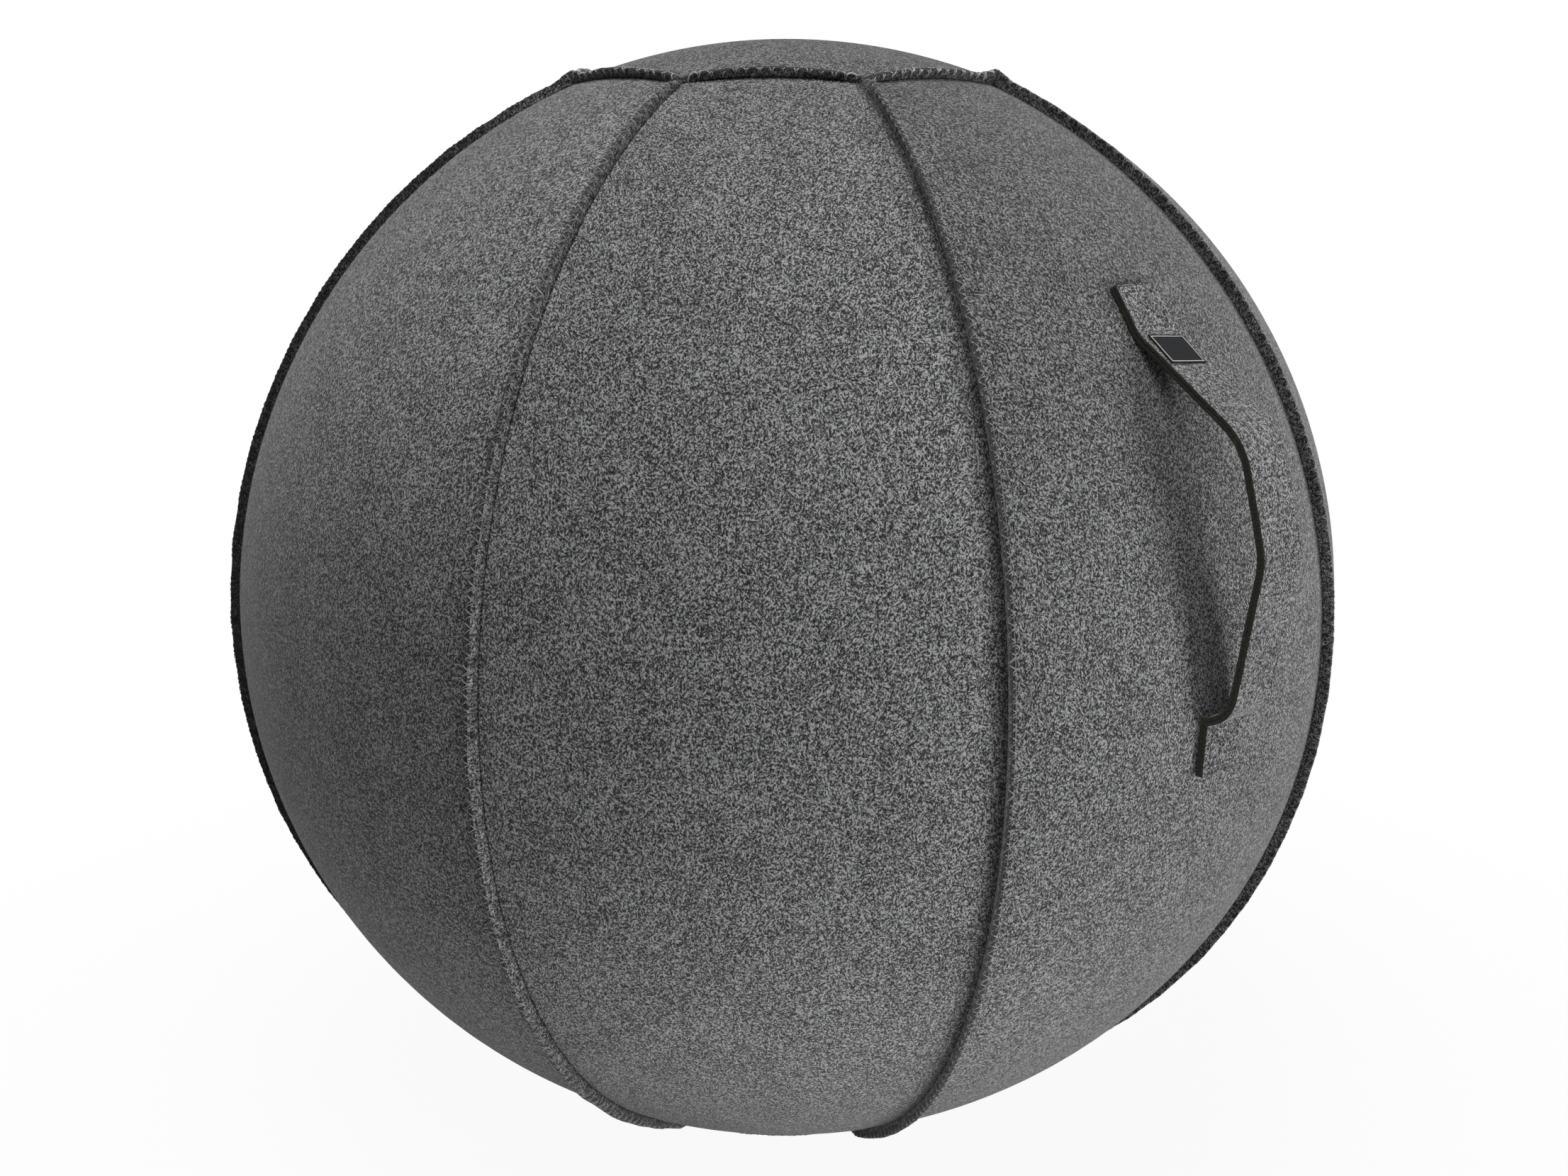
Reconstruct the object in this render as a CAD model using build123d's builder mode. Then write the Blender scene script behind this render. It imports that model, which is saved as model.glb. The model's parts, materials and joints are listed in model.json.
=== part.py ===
from build123d import *
import os
from math import asin, atan, cos, degrees, radians, sin, sqrt, tan

# A sitting ball: an inflatable ball in a cover of felt gores and two caps, with a strap handle
# at the front and a zip in one rear seam. Millimetres, Z up. The origin is the middle of the
# flat on which the ball stands, and the handle faces -Y.

# Felt cover
BALL_DIAMETER = 650.0
FELT = 2.5
GORES = 8
CONTACT_RADIUS = 55.0
CAP_CORNER = 125.0
RIDGE_HEIGHT = 7.0
STUB_HEIGHT = 4.0
STUB_RUN = 9.0

# Inflatable ball and its valve
SKIN = 1.2
SKIN_GAP = 0.3
VALVE_BOSS_RADIUS = 16.0
VALVE_BOSS_DEPTH = 9.0
PLUG_HEAD_RADIUS = 9.0
PLUG_HEAD_HEIGHT = 2.0
PLUG_HEAD_SINK = 0.6
PLUG_STEM_RADIUS = 4.5
PLUG_STEM_LENGTH = 16.0
PLUG_TIP_RADIUS = 3.2
PLUG_FIT = 0.15

# Handle strap: places are lengths along the felt above the ball's middle, and heights off the felt
STRAP_WIDTH = 30.0
STRAP_SEWN_LENGTH = 28.0
STRAP_SEAT_GAP = 0.4
UPPER_FOLD = 190.0
LOWER_FOLD = 0.0
SHOULDER_PLACE = 126.0
SHOULDER_REACH = 40.0
ELBOW_PLACE = 76.0
ELBOW_REACH = 38.0
HEEL_PLACE = 5.4
HEEL_REACH = 16.4
UPPER_FOLD_RADIUS = 15.0
SHOULDER_RADIUS = 38.0
ELBOW_RADIUS = 35.0
HEEL_RADIUS = 18.0
LOWER_FOLD_RADIUS = 3.0
UPPER_ROOT = 26.0
LOWER_ROOT = 22.0
SWING_GAP = 0.3
TAG_WIDTH = 24.0
TAG_LENGTH = 21.0
TAG_START = 3.5
TAG_THICKNESS = 0.8

# Zip
ZIP_GAP = 18.0
ZIP_TOP = 150.0
ZIP_LENGTH = 400.0
ZIP_HEAD = 6.0
ZIP_TAIL = 34.0
TAPE = 0.8
TAPE_DEPTH = 0.3
COIL_WIDTH = 2.4
COIL_HEIGHT = 1.6
COIL_ROUND = 0.6
COIL_SEAT = 0.3
STOP_LENGTH = 3.0
STOP_RISE = 0.6
SLIDER_LENGTH = 12.0
SLIDER_END_GAP = 0.5
SLIDER_CORNER = 2.0
SLIDER_TOP_PLATE = 1.2
SLIDER_LOWER_PLATE = 0.8
SLIDER_CLEARANCE = 0.4
SLIDER_LIP = 1.2
WEDGE_WIDTH = 1.0
WEDGE_LENGTH = 5.0
BRIDGE_LENGTH = 8.0
BRIDGE_WIDTH = 2.2
BRIDGE_BAR = 1.2
PULL_PIN_RADIUS = 0.8
PULL_CLEARANCE = 0.35
PULL_WIDTH = 8.0
PULL_LENGTH = 24.0
PULL_TIP_CORNER = 2.5
PULL_HOLE_RADIUS = 1.6
PULL_HOLE_INSET = 4.0

# Worked out from the sizes above
RADIUS = BALL_DIAMETER / 2
CENTRE_HEIGHT = sqrt(RADIUS**2 - CONTACT_RADIUS**2)
CENTRE = (0, 0, CENTRE_HEIGHT)
GORE_ANGLE = 360 / GORES
CORNER_ELEVATION = 90 - degrees(asin(CAP_CORNER / RADIUS))
EDGE_ELEVATION = 90 - degrees(atan(tan(radians(90 - CORNER_ELEVATION)) * cos(radians(GORE_ANGLE / 2))))
EDGE_HALF_ANGLE = degrees(asin(CAP_CORNER / RADIUS * sin(radians(GORE_ANGLE / 2))))
POLE = 90
PAST_EDGE = (POLE + EDGE_ELEVATION) / 2
PAST_CORNER = CORNER_ELEVATION - (PAST_EDGE - EDGE_ELEVATION)
RIDGE_ROOT = RADIUS - FELT / 2
RIDGE_TOP = RADIUS + RIDGE_HEIGHT
STUB_ANGLE = degrees(STUB_RUN / RIDGE_TOP)

os.makedirs("parts", exist_ok=True)


def on_circle(radius, elevation):
    """Point of a circle about the ball's centre, in a plane through that centre."""
    return (radius * cos(radians(elevation)), radius * sin(radians(elevation)))


def above_middle(length):
    """Elevation, in degrees, of a place at a length along the felt above the ball's middle."""
    return degrees(length / RADIUS)


def meridian(azimuth):
    """Upright plane through the ball's axis: X outward, Y up, azimuth counted from the handle."""
    turn = radians(azimuth)
    return Plane(CENTRE, x_dir=(sin(turn), -cos(turn), 0), z_dir=(-cos(turn), -sin(turn), 0))


def turned_up(plane, elevation):
    """An upright plane through the ball's axis, turned about its normal so that X points at an elevation."""
    lift = radians(elevation)
    return Plane(plane.origin, x_dir=plane.x_dir * cos(lift) + plane.y_dir * sin(lift), z_dir=plane.z_dir)


def cap_plane(azimuth, end):
    """Plane through the ball's centre and one edge of a cap, with its normal towards the pole."""
    turn = radians(azimuth)
    lift = radians(EDGE_ELEVATION)
    to_edge = Vector(cos(lift) * sin(turn), -cos(lift) * cos(turn), end * sin(lift))
    to_pole = Vector(-sin(lift) * sin(turn), sin(lift) * cos(turn), end * cos(lift))
    return Plane(CENTRE, x_dir=to_edge, z_dir=to_pole)


def band(inner, outer, first, last):
    """Outline of the band between two radii about the ball's centre, from one elevation to another."""
    with BuildLine() as outline:
        CenterArc((0, 0), outer, first, last - first)
        Line(on_circle(outer, last), on_circle(inner, last))
        CenterArc((0, 0), inner, first, last - first)
        Line(on_circle(outer, first), on_circle(inner, first))
    return outline.edges()


def flattened_wall(outer, wall, drop, last):
    """Outline of half the wall of a ball pressed flat at the foot, from its axis up to an elevation."""
    inner = outer - wall
    inner_drop = drop - wall
    outer_foot = (sqrt(outer**2 - drop**2), -drop)
    inner_foot = (sqrt(inner**2 - inner_drop**2), -inner_drop)
    outer_start = -degrees(asin(drop / outer))
    inner_start = -degrees(asin(inner_drop / inner))
    with BuildLine() as outline:
        Line((0, -drop), outer_foot)
        CenterArc((0, 0), outer, outer_start, last - outer_start)
        Line(on_circle(outer, last), on_circle(inner, last))
        CenterArc((0, 0), inner, inner_start, last - inner_start)
        Line(inner_foot, (0, -inner_drop))
        Line((0, -inner_drop), (0, -drop))
    return outline.edges()


def ridge(first, last, first_stub, last_stub):
    """Outline of a turned-out seam allowance between two angles, with the rise to a stub at each end."""
    low_end = on_circle(RIDGE_TOP, first + STUB_ANGLE)
    high_end = on_circle(RIDGE_TOP, last - STUB_ANGLE)
    with BuildLine() as outline:
        Line(on_circle(RIDGE_ROOT, first), on_circle(RIDGE_TOP + first_stub, first))
        Line(on_circle(RIDGE_TOP + first_stub, first), low_end)
        CenterArc((0, 0), RIDGE_TOP, first + STUB_ANGLE, last - first - 2 * STUB_ANGLE)
        Line(high_end, on_circle(RIDGE_TOP + last_stub, last))
        Line(on_circle(RIDGE_TOP + last_stub, last), on_circle(RIDGE_ROOT, last))
        CenterArc((0, 0), RIDGE_ROOT, first, last - first)
    return outline.edges()


def keep(piece, name):
    """Label a finished piece and write it out."""
    piece.part.label = name
    export_step(piece.part, f"parts/{name}.step")


# The zip stands in the seam after this gore
ZIP_SEAM = GORES // 2 - 1
ZIP_HIGH = above_middle(ZIP_TOP)
ZIP_LOW = above_middle(ZIP_TOP - ZIP_LENGTH)
ZIP_PLANE = meridian((ZIP_SEAM + 0.5) * GORE_ANGLE)


def ridge_stretches(seam):
    """Stretches of a side seam that stand as a ridge: two angles and the stub at each of them."""
    if seam % GORES == ZIP_SEAM:
        return [(-CORNER_ELEVATION, ZIP_LOW, STUB_HEIGHT, 0), (ZIP_HIGH, CORNER_ELEVATION, 0, STUB_HEIGHT)]
    return [(-CORNER_ELEVATION, CORNER_ELEVATION, STUB_HEIGHT, STUB_HEIGHT)]


# Gore panels, each with its share of the four ridges round it
for index in range(GORES):
    middle = index * GORE_ANGLE
    with BuildPart() as gore_panel:
        with BuildSketch(meridian(middle - GORE_ANGLE / 2)):
            make_face(band(RADIUS - FELT, RADIUS, -PAST_EDGE, PAST_EDGE))
        revolve(axis=Axis.Z, revolution_arc=GORE_ANGLE)
        for end in (1, -1):
            split(bisect_by=cap_plane(middle, end), keep=Keep.BOTTOM)
        for seam, way in ((index - 1, -1), (index, 1)):
            seam_plane = meridian((seam + 0.5) * GORE_ANGLE)
            if seam % GORES == ZIP_SEAM:
                with BuildSketch(seam_plane):
                    make_face(band(RADIUS - 2 * FELT, RADIUS + FELT, ZIP_LOW, ZIP_HIGH))
                extrude(amount=way * ZIP_GAP / 2, mode=Mode.SUBTRACT)
            for stretch in ridge_stretches(seam):
                with BuildSketch(seam_plane):
                    make_face(ridge(*stretch))
                extrude(amount=way * FELT)
        for end in (1, -1):
            with BuildSketch(cap_plane(middle, end)):
                make_face(ridge(-EDGE_HALF_ANGLE, EDGE_HALF_ANGLE, STUB_HEIGHT, STUB_HEIGHT))
            extrude(amount=-FELT)
    keep(gore_panel, f"gore_panel_{index + 1}")

# Top cap
with BuildPart() as top_cap:
    with BuildSketch(meridian(0)):
        make_face(band(RADIUS - FELT, RADIUS, PAST_CORNER, POLE))
    revolve(axis=Axis.Z)
    for index in range(GORES):
        split(bisect_by=cap_plane(index * GORE_ANGLE, 1), keep=Keep.TOP)
    for index in range(GORES):
        with BuildSketch(cap_plane(index * GORE_ANGLE, 1)):
            make_face(ridge(-EDGE_HALF_ANGLE, EDGE_HALF_ANGLE, STUB_HEIGHT, STUB_HEIGHT))
        extrude(amount=FELT)
keep(top_cap, "top_cap")

# Bottom cap, pressed flat on the floor
with BuildPart() as bottom_cap:
    with BuildSketch(meridian(0)):
        make_face(flattened_wall(RADIUS, FELT, CENTRE_HEIGHT, -PAST_CORNER))
    revolve(axis=Axis.Z)
    for index in range(GORES):
        split(bisect_by=cap_plane(index * GORE_ANGLE, -1), keep=Keep.TOP)
    for index in range(GORES):
        with BuildSketch(cap_plane(index * GORE_ANGLE, -1)):
            make_face(ridge(-EDGE_HALF_ANGLE, EDGE_HALF_ANGLE, STUB_HEIGHT, STUB_HEIGHT))
        extrude(amount=FELT)
keep(bottom_cap, "bottom_cap")

# Inflatable ball, with a thickened boss for its valve behind the rear gore beside the zip
SKIN_RADIUS = RADIUS - FELT - SKIN_GAP
SKIN_DROP = CENTRE_HEIGHT - FELT - SKIN_GAP
VALVE_SIDE = meridian((ZIP_SEAM + 1) * GORE_ANGLE)
VALVE_FACE = Plane(VALVE_SIDE.from_local_coords((SKIN_RADIUS, 0, 0)), x_dir=(0, 0, 1), z_dir=VALVE_SIDE.x_dir)
with BuildPart() as inflatable_ball:
    with BuildSketch(meridian(0)):
        make_face(flattened_wall(SKIN_RADIUS, SKIN, SKIN_DROP, POLE))
    revolve(axis=Axis.Z)
    with BuildSketch(VALVE_FACE.offset(-VALVE_BOSS_DEPTH)):
        Circle(VALVE_BOSS_RADIUS)
    extrude(amount=VALVE_BOSS_DEPTH - SKIN / 2)
    with Locations(VALVE_FACE):
        CounterBoreHole(
            PLUG_STEM_RADIUS + PLUG_FIT,
            PLUG_HEAD_RADIUS + PLUG_FIT,
            PLUG_HEAD_SINK + PLUG_HEAD_HEIGHT + PLUG_FIT,
            2 * VALVE_BOSS_DEPTH,
        )
keep(inflatable_ball, "inflatable_ball")

# Valve plug: a flat head on a stem that narrows at the tip
PLUG_TOP = SKIN_RADIUS - PLUG_HEAD_SINK
PLUG_NECK = PLUG_TOP - PLUG_HEAD_HEIGHT
PLUG_TIP = PLUG_NECK - PLUG_STEM_LENGTH
PLUG_TAPER_START = PLUG_NECK - PLUG_STEM_LENGTH / 2
with BuildPart() as valve_plug:
    with BuildSketch(VALVE_SIDE):
        with BuildLine():
            Polyline(
                (PLUG_TOP, 0),
                (PLUG_TOP, PLUG_HEAD_RADIUS),
                (PLUG_NECK, PLUG_HEAD_RADIUS),
                (PLUG_NECK, PLUG_STEM_RADIUS),
                (PLUG_TAPER_START, PLUG_STEM_RADIUS),
                (PLUG_TIP, PLUG_TIP_RADIUS),
                (PLUG_TIP, 0),
                close=True,
            )
        make_face()
    revolve(axis=Axis(CENTRE, VALVE_SIDE.x_dir))
keep(valve_plug, "valve_plug")

# Handle strap: two plies along one bent line, cut where the loop bends from its sewn ends
STRAP_SIDE = meridian(0)
STRAP_MIDDLE = RADIUS + STRAP_SEAT_GAP + FELT
UPPER_FOLD_POINT = Vector(*on_circle(STRAP_MIDDLE, above_middle(UPPER_FOLD)))
SHOULDER_POINT = Vector(*on_circle(RADIUS + SHOULDER_REACH, above_middle(SHOULDER_PLACE)))
ELBOW_POINT = Vector(*on_circle(RADIUS + ELBOW_REACH, above_middle(ELBOW_PLACE)))
HEEL_POINT = Vector(*on_circle(RADIUS + HEEL_REACH, above_middle(HEEL_PLACE)))
STRAP_POINTS = [
    on_circle(STRAP_MIDDLE, above_middle(UPPER_FOLD + STRAP_SEWN_LENGTH)),
    UPPER_FOLD_POINT,
    SHOULDER_POINT,
    ELBOW_POINT,
    HEEL_POINT,
    on_circle(STRAP_MIDDLE, above_middle(LOWER_FOLD)),
    on_circle(STRAP_MIDDLE, above_middle(LOWER_FOLD - STRAP_SEWN_LENGTH)),
]
STRAP_RADII = [UPPER_FOLD_RADIUS, SHOULDER_RADIUS, ELBOW_RADIUS, HEEL_RADIUS, LOWER_FOLD_RADIUS]
RISE = (SHOULDER_POINT - UPPER_FOLD_POINT).normalized()
FALL = (HEEL_POINT - ELBOW_POINT).normalized()
UPPER_CUT = UPPER_FOLD_POINT + RISE * UPPER_ROOT
LOWER_CUT = HEEL_POINT - FALL * LOWER_ROOT
SWING_AXIS = STRAP_SIDE.from_local_coords(LOWER_CUT) - STRAP_SIDE.from_local_coords(UPPER_CUT)
UPPER_CUT_PLANE = Plane(STRAP_SIDE.from_local_coords(UPPER_CUT), z_dir=SWING_AXIS)
LOWER_CUT_PLANE = Plane(STRAP_SIDE.from_local_coords(LOWER_CUT), z_dir=SWING_AXIS)


def ply_outline(side):
    """Outline of one felt ply of the whole strap, on one side of the strap's middle line."""
    with BuildLine() as outline:
        FilletPolyline(*STRAP_POINTS, radius=STRAP_RADII)
        offset(amount=FELT, side=side)
    return outline.edges()


for ply, side in (("outer", Side.LEFT), ("inner", Side.RIGHT)):
    with BuildPart() as upper_end:
        with BuildSketch(STRAP_SIDE):
            make_face(ply_outline(side))
        extrude(amount=STRAP_WIDTH / 2, both=True)
        split(bisect_by=UPPER_CUT_PLANE, keep=Keep.BOTTOM)
    keep(upper_end, f"handle_upper_end_{ply}")
    with BuildPart() as loop:
        with BuildSketch(STRAP_SIDE):
            make_face(ply_outline(side))
        extrude(amount=STRAP_WIDTH / 2, both=True)
        split(bisect_by=UPPER_CUT_PLANE.offset(SWING_GAP), keep=Keep.TOP)
        split(bisect_by=LOWER_CUT_PLANE.offset(-SWING_GAP), keep=Keep.BOTTOM)
    keep(loop, f"handle_loop_{ply}")
    with BuildPart() as lower_end:
        with BuildSketch(STRAP_SIDE):
            make_face(ply_outline(side))
        extrude(amount=STRAP_WIDTH / 2, both=True)
        split(bisect_by=LOWER_CUT_PLANE, keep=Keep.TOP)
    keep(lower_end, f"handle_lower_end_{ply}")

# Woven tag sewn on the strap just below the upper fold
TAG_LINE = Plane(
    STRAP_SIDE.from_local_coords(UPPER_FOLD_POINT),
    x_dir=STRAP_SIDE.from_local_coords(SHOULDER_POINT) - STRAP_SIDE.from_local_coords(UPPER_FOLD_POINT),
    z_dir=STRAP_SIDE.z_dir,
)
with BuildPart() as handle_tag:
    with BuildSketch(TAG_LINE):
        with Locations((TAG_START, FELT)):
            Rectangle(TAG_LENGTH, TAG_THICKNESS, align=(Align.MIN, Align.MIN))
    extrude(amount=TAG_WIDTH / 2, both=True)
keep(handle_tag, "handle_tag")

# Zip tapes, which fill the gap between two gores, each with a coil along its inner edge
TAPE_TOP = RADIUS - TAPE_DEPTH
TAPE_FOOT = TAPE_TOP - TAPE
COIL_FOOT = TAPE_TOP + COIL_SEAT
COIL_TOP = COIL_FOOT + COIL_HEIGHT
CHAIN_HIGH = above_middle(ZIP_TOP - ZIP_HEAD)
CHAIN_LOW = above_middle(ZIP_TOP - ZIP_LENGTH + ZIP_TAIL)
CHAIN_SLIT = WEDGE_WIDTH + 2 * SLIDER_CLEARANCE
CHAIN_HALF = CHAIN_SLIT / 2 + COIL_WIDTH
STOP_ANGLE = above_middle(STOP_LENGTH)
for side, way in (("left", 1), ("right", -1)):
    with BuildPart() as zip_tape:
        with BuildSketch(ZIP_PLANE.offset(way * CHAIN_SLIT / 2)):
            make_face(band(TAPE_FOOT, TAPE_TOP, ZIP_LOW, ZIP_HIGH))
        extrude(amount=way * (ZIP_GAP - CHAIN_SLIT) / 2)
    keep(zip_tape, f"zip_tape_{side}")
    with BuildPart() as zip_coil:
        with BuildSketch(ZIP_PLANE.offset(way * CHAIN_SLIT / 2)):
            make_face(band(COIL_FOOT, COIL_TOP, CHAIN_LOW, CHAIN_HIGH))
        extrude(amount=way * COIL_WIDTH)
        fillet(zip_coil.edges().filter_by(GeomType.CIRCLE).group_by(SortBy.RADIUS)[-1], COIL_ROUND)
    keep(zip_coil, f"zip_coil_{side}")

# Zip stops: one on each coil at the top, one across both at the foot
STOP_TOP = COIL_TOP + STOP_RISE
with BuildPart() as zip_top_stops:
    for way in (1, -1):
        with BuildSketch(ZIP_PLANE.offset(way * CHAIN_SLIT / 2)):
            make_face(band(COIL_FOOT, STOP_TOP, CHAIN_HIGH, CHAIN_HIGH + STOP_ANGLE))
        extrude(amount=way * COIL_WIDTH)
keep(zip_top_stops, "zip_top_stops")
with BuildPart() as zip_bottom_stop:
    with BuildSketch(ZIP_PLANE):
        make_face(band(COIL_FOOT, STOP_TOP, CHAIN_LOW - STOP_ANGLE, CHAIN_LOW))
    extrude(amount=CHAIN_HALF, both=True)
keep(zip_bottom_stop, "zip_bottom_stop")

# Zip slider, closed at the top of the chain: two plates round the chain, a wedge between the
# coils that joins them, lips down to the tapes and a bridge for the pull
SLIDER_HIGH = CHAIN_HIGH - above_middle(SLIDER_END_GAP)
SLIDER_LOW = SLIDER_HIGH - above_middle(SLIDER_LENGTH)
SLIDER_PLANE = turned_up(ZIP_PLANE, (SLIDER_HIGH + SLIDER_LOW) / 2)
SLIDER_HALF = CHAIN_HALF + SLIDER_CLEARANCE + SLIDER_LIP
PLATE_FOOT = COIL_TOP + SLIDER_CLEARANCE
PLATE_TOP = PLATE_FOOT + SLIDER_TOP_PLATE
LOWER_TOP = TAPE_FOOT - SLIDER_CLEARANCE
LOWER_FOOT = LOWER_TOP - SLIDER_LOWER_PLATE
BRIDGE_WINDOW = 2 * (PULL_PIN_RADIUS + PULL_CLEARANCE)
BRIDGE_RISE = BRIDGE_WINDOW + BRIDGE_BAR
LIP_FOOT = TAPE_TOP + SLIDER_CLEARANCE


def across_chain(radius):
    """Plane across the slider at a distance from the ball's centre: X along its width, Y down the chain."""
    place = SLIDER_PLANE.from_local_coords((radius, 0, 0))
    return Plane(place, x_dir=SLIDER_PLANE.z_dir, z_dir=SLIDER_PLANE.x_dir)


with BuildPart() as zip_slider:
    with BuildSketch(across_chain(LIP_FOOT)):
        RectangleRounded(2 * SLIDER_HALF, SLIDER_LENGTH, SLIDER_CORNER)
    extrude(amount=PLATE_TOP - LIP_FOOT)
    with BuildSketch(across_chain(LIP_FOOT)):
        Rectangle(2 * (SLIDER_HALF - SLIDER_LIP), SLIDER_LENGTH)
    extrude(amount=PLATE_FOOT - LIP_FOOT, mode=Mode.SUBTRACT)
    with BuildSketch(across_chain(LOWER_FOOT)):
        RectangleRounded(2 * SLIDER_HALF, SLIDER_LENGTH, SLIDER_CORNER)
    extrude(amount=SLIDER_LOWER_PLATE)
    with BuildSketch(across_chain(LOWER_FOOT)):
        with Locations((0, -SLIDER_LENGTH / 2)):
            Rectangle(WEDGE_WIDTH, WEDGE_LENGTH, align=(Align.CENTER, Align.MIN))
    extrude(amount=PLATE_TOP - LOWER_FOOT)
    with BuildSketch(SLIDER_PLANE) as bridge:
        with Locations((PLATE_FOOT, 0)):
            Rectangle(SLIDER_TOP_PLATE + BRIDGE_RISE, BRIDGE_LENGTH, align=(Align.MIN, Align.CENTER))
        fillet(bridge.vertices().group_by(Axis.X)[-1], BRIDGE_BAR)
        with Locations((PLATE_TOP, 0)):
            Rectangle(
                BRIDGE_WINDOW,
                BRIDGE_LENGTH - 2 * BRIDGE_BAR,
                align=(Align.MIN, Align.CENTER),
                mode=Mode.SUBTRACT,
            )
    extrude(amount=BRIDGE_WIDTH / 2, both=True)
keep(zip_slider, "zip_slider")

# Zip pull: a flat tab hanging down the chain, with an eye whose round bar lies under the bridge
PIVOT = PLATE_TOP + BRIDGE_WINDOW / 2
EYE_WIDTH = BRIDGE_WIDTH + 2 * PULL_CLEARANCE
EYE_REACH = sqrt((BRIDGE_LENGTH / 2) ** 2 + (BRIDGE_RISE - BRIDGE_WINDOW / 2) ** 2) + PULL_CLEARANCE
with BuildPart() as zip_pull:
    with BuildSketch(across_chain(PIVOT)) as tab:
        Rectangle(PULL_WIDTH, PULL_LENGTH, align=(Align.CENTER, Align.MIN))
        fillet(tab.vertices().group_by(Axis.Y)[-1], PULL_TIP_CORNER)
        Rectangle(EYE_WIDTH, EYE_REACH, align=(Align.CENTER, Align.MIN), mode=Mode.SUBTRACT)
        with Locations((0, PULL_LENGTH - PULL_HOLE_INSET)):
            Circle(PULL_HOLE_RADIUS, mode=Mode.SUBTRACT)
    extrude(amount=PULL_PIN_RADIUS, both=True)
    with BuildSketch(SLIDER_PLANE):
        with Locations((PIVOT, 0)):
            Circle(PULL_PIN_RADIUS)
    extrude(amount=PULL_WIDTH / 2, both=True)
keep(zip_pull, "zip_pull")
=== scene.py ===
"""Looks of a felt-covered sitting ball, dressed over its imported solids. Metres, Z up."""

import json
import logging
import math
from dataclasses import dataclass, field
from enum import Enum
from typing import Callable, Iterable, Union

import bmesh
import bpy
from mathutils import Matrix, Vector, noise

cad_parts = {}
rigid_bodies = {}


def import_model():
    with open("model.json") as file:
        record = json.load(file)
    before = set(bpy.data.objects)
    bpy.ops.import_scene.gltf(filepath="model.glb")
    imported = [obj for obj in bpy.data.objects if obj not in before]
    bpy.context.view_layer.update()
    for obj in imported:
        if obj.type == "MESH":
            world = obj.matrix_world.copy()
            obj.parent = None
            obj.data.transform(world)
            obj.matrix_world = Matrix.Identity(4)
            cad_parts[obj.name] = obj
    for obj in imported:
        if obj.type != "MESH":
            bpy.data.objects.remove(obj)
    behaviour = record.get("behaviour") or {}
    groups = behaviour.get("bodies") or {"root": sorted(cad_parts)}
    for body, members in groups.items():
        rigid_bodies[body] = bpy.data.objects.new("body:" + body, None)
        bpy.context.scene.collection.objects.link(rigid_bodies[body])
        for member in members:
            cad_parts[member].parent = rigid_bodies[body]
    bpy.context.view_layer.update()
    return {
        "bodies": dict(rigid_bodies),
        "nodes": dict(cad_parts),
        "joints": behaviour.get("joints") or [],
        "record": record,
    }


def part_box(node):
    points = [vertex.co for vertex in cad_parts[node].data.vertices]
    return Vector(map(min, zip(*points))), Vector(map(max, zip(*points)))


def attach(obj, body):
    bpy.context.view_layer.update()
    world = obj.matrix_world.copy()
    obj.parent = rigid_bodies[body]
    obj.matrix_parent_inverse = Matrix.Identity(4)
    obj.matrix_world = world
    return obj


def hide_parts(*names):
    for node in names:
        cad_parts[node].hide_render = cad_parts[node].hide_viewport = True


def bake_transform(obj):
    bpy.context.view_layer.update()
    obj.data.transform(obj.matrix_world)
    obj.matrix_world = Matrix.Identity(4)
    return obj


LOG = logging.getLogger("sitting_ball")
Feed = Union[float, tuple, bpy.types.NodeSocket]
Trace = list[tuple[Vector, Vector]]
MILLIMETRE = 0.001
MERGE_WITHIN = 0.00002
SLIVER = 0.00001
RIM_STEPS = 2
SHARP_EDGE = math.radians(50.0)
WHITE = (1.0, 1.0, 1.0)
FELT_UV = "felt"
TURNED_AND_GROOVE_SHADE = "turned"
SHADE = "shade"
PAINTED_PANEL_LIGHT = "painted_panel_light"
ALONG = "along"
THICK = "thick"
# Level of a plain turned-out wall: partly the darker sewn-over felt, partly painted shade.
PLAIN_SHADE = 0.66


class Body(str, Enum):
    """Bodies of the frame; the new pieces that ride on one ride on the ball."""

    BALL = "ball"
    HANDLE = "handle"


class Slot(str, Enum):
    """Names of the record's material slots."""

    FELT = "felt"
    TAG = "tag"
    SKIN = "ball_skin"
    TAPE = "zip_tape"
    COIL = "zip_coil"


class End(int, Enum):
    """The two caps of the cover, by the sign of their height."""

    TOP = 1
    BOTTOM = -1


def smooth_step(value: float, low: float, high: float) -> float:
    """Ease from 0 at low to 1 at high.

    Args:
        value: Where to read the step.
        low: Where the step starts.
        high: Where the step ends.

    Returns:
        A share from 0 to 1.
    """
    share = min(1.0, max(0.0, (value - low) / (high - low)))
    return share * share * (3.0 - 2.0 * share)


def mix(first: float, second: float, share: float) -> float:
    """Go from the first value to the second by a share."""
    return first + (second - first) * share


def wander(place: float, seed: float) -> float:
    """Smooth noise from about -1 to 1 along a line, the same on every run."""
    return noise.noise(Vector((place, seed, 0.37 * seed)))


def toned(colour: tuple, level: float = 1.0) -> tuple:
    """A colour at a level of its own brightness, with full alpha."""
    return (*(level * part for part in colour), 1.0)


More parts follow.
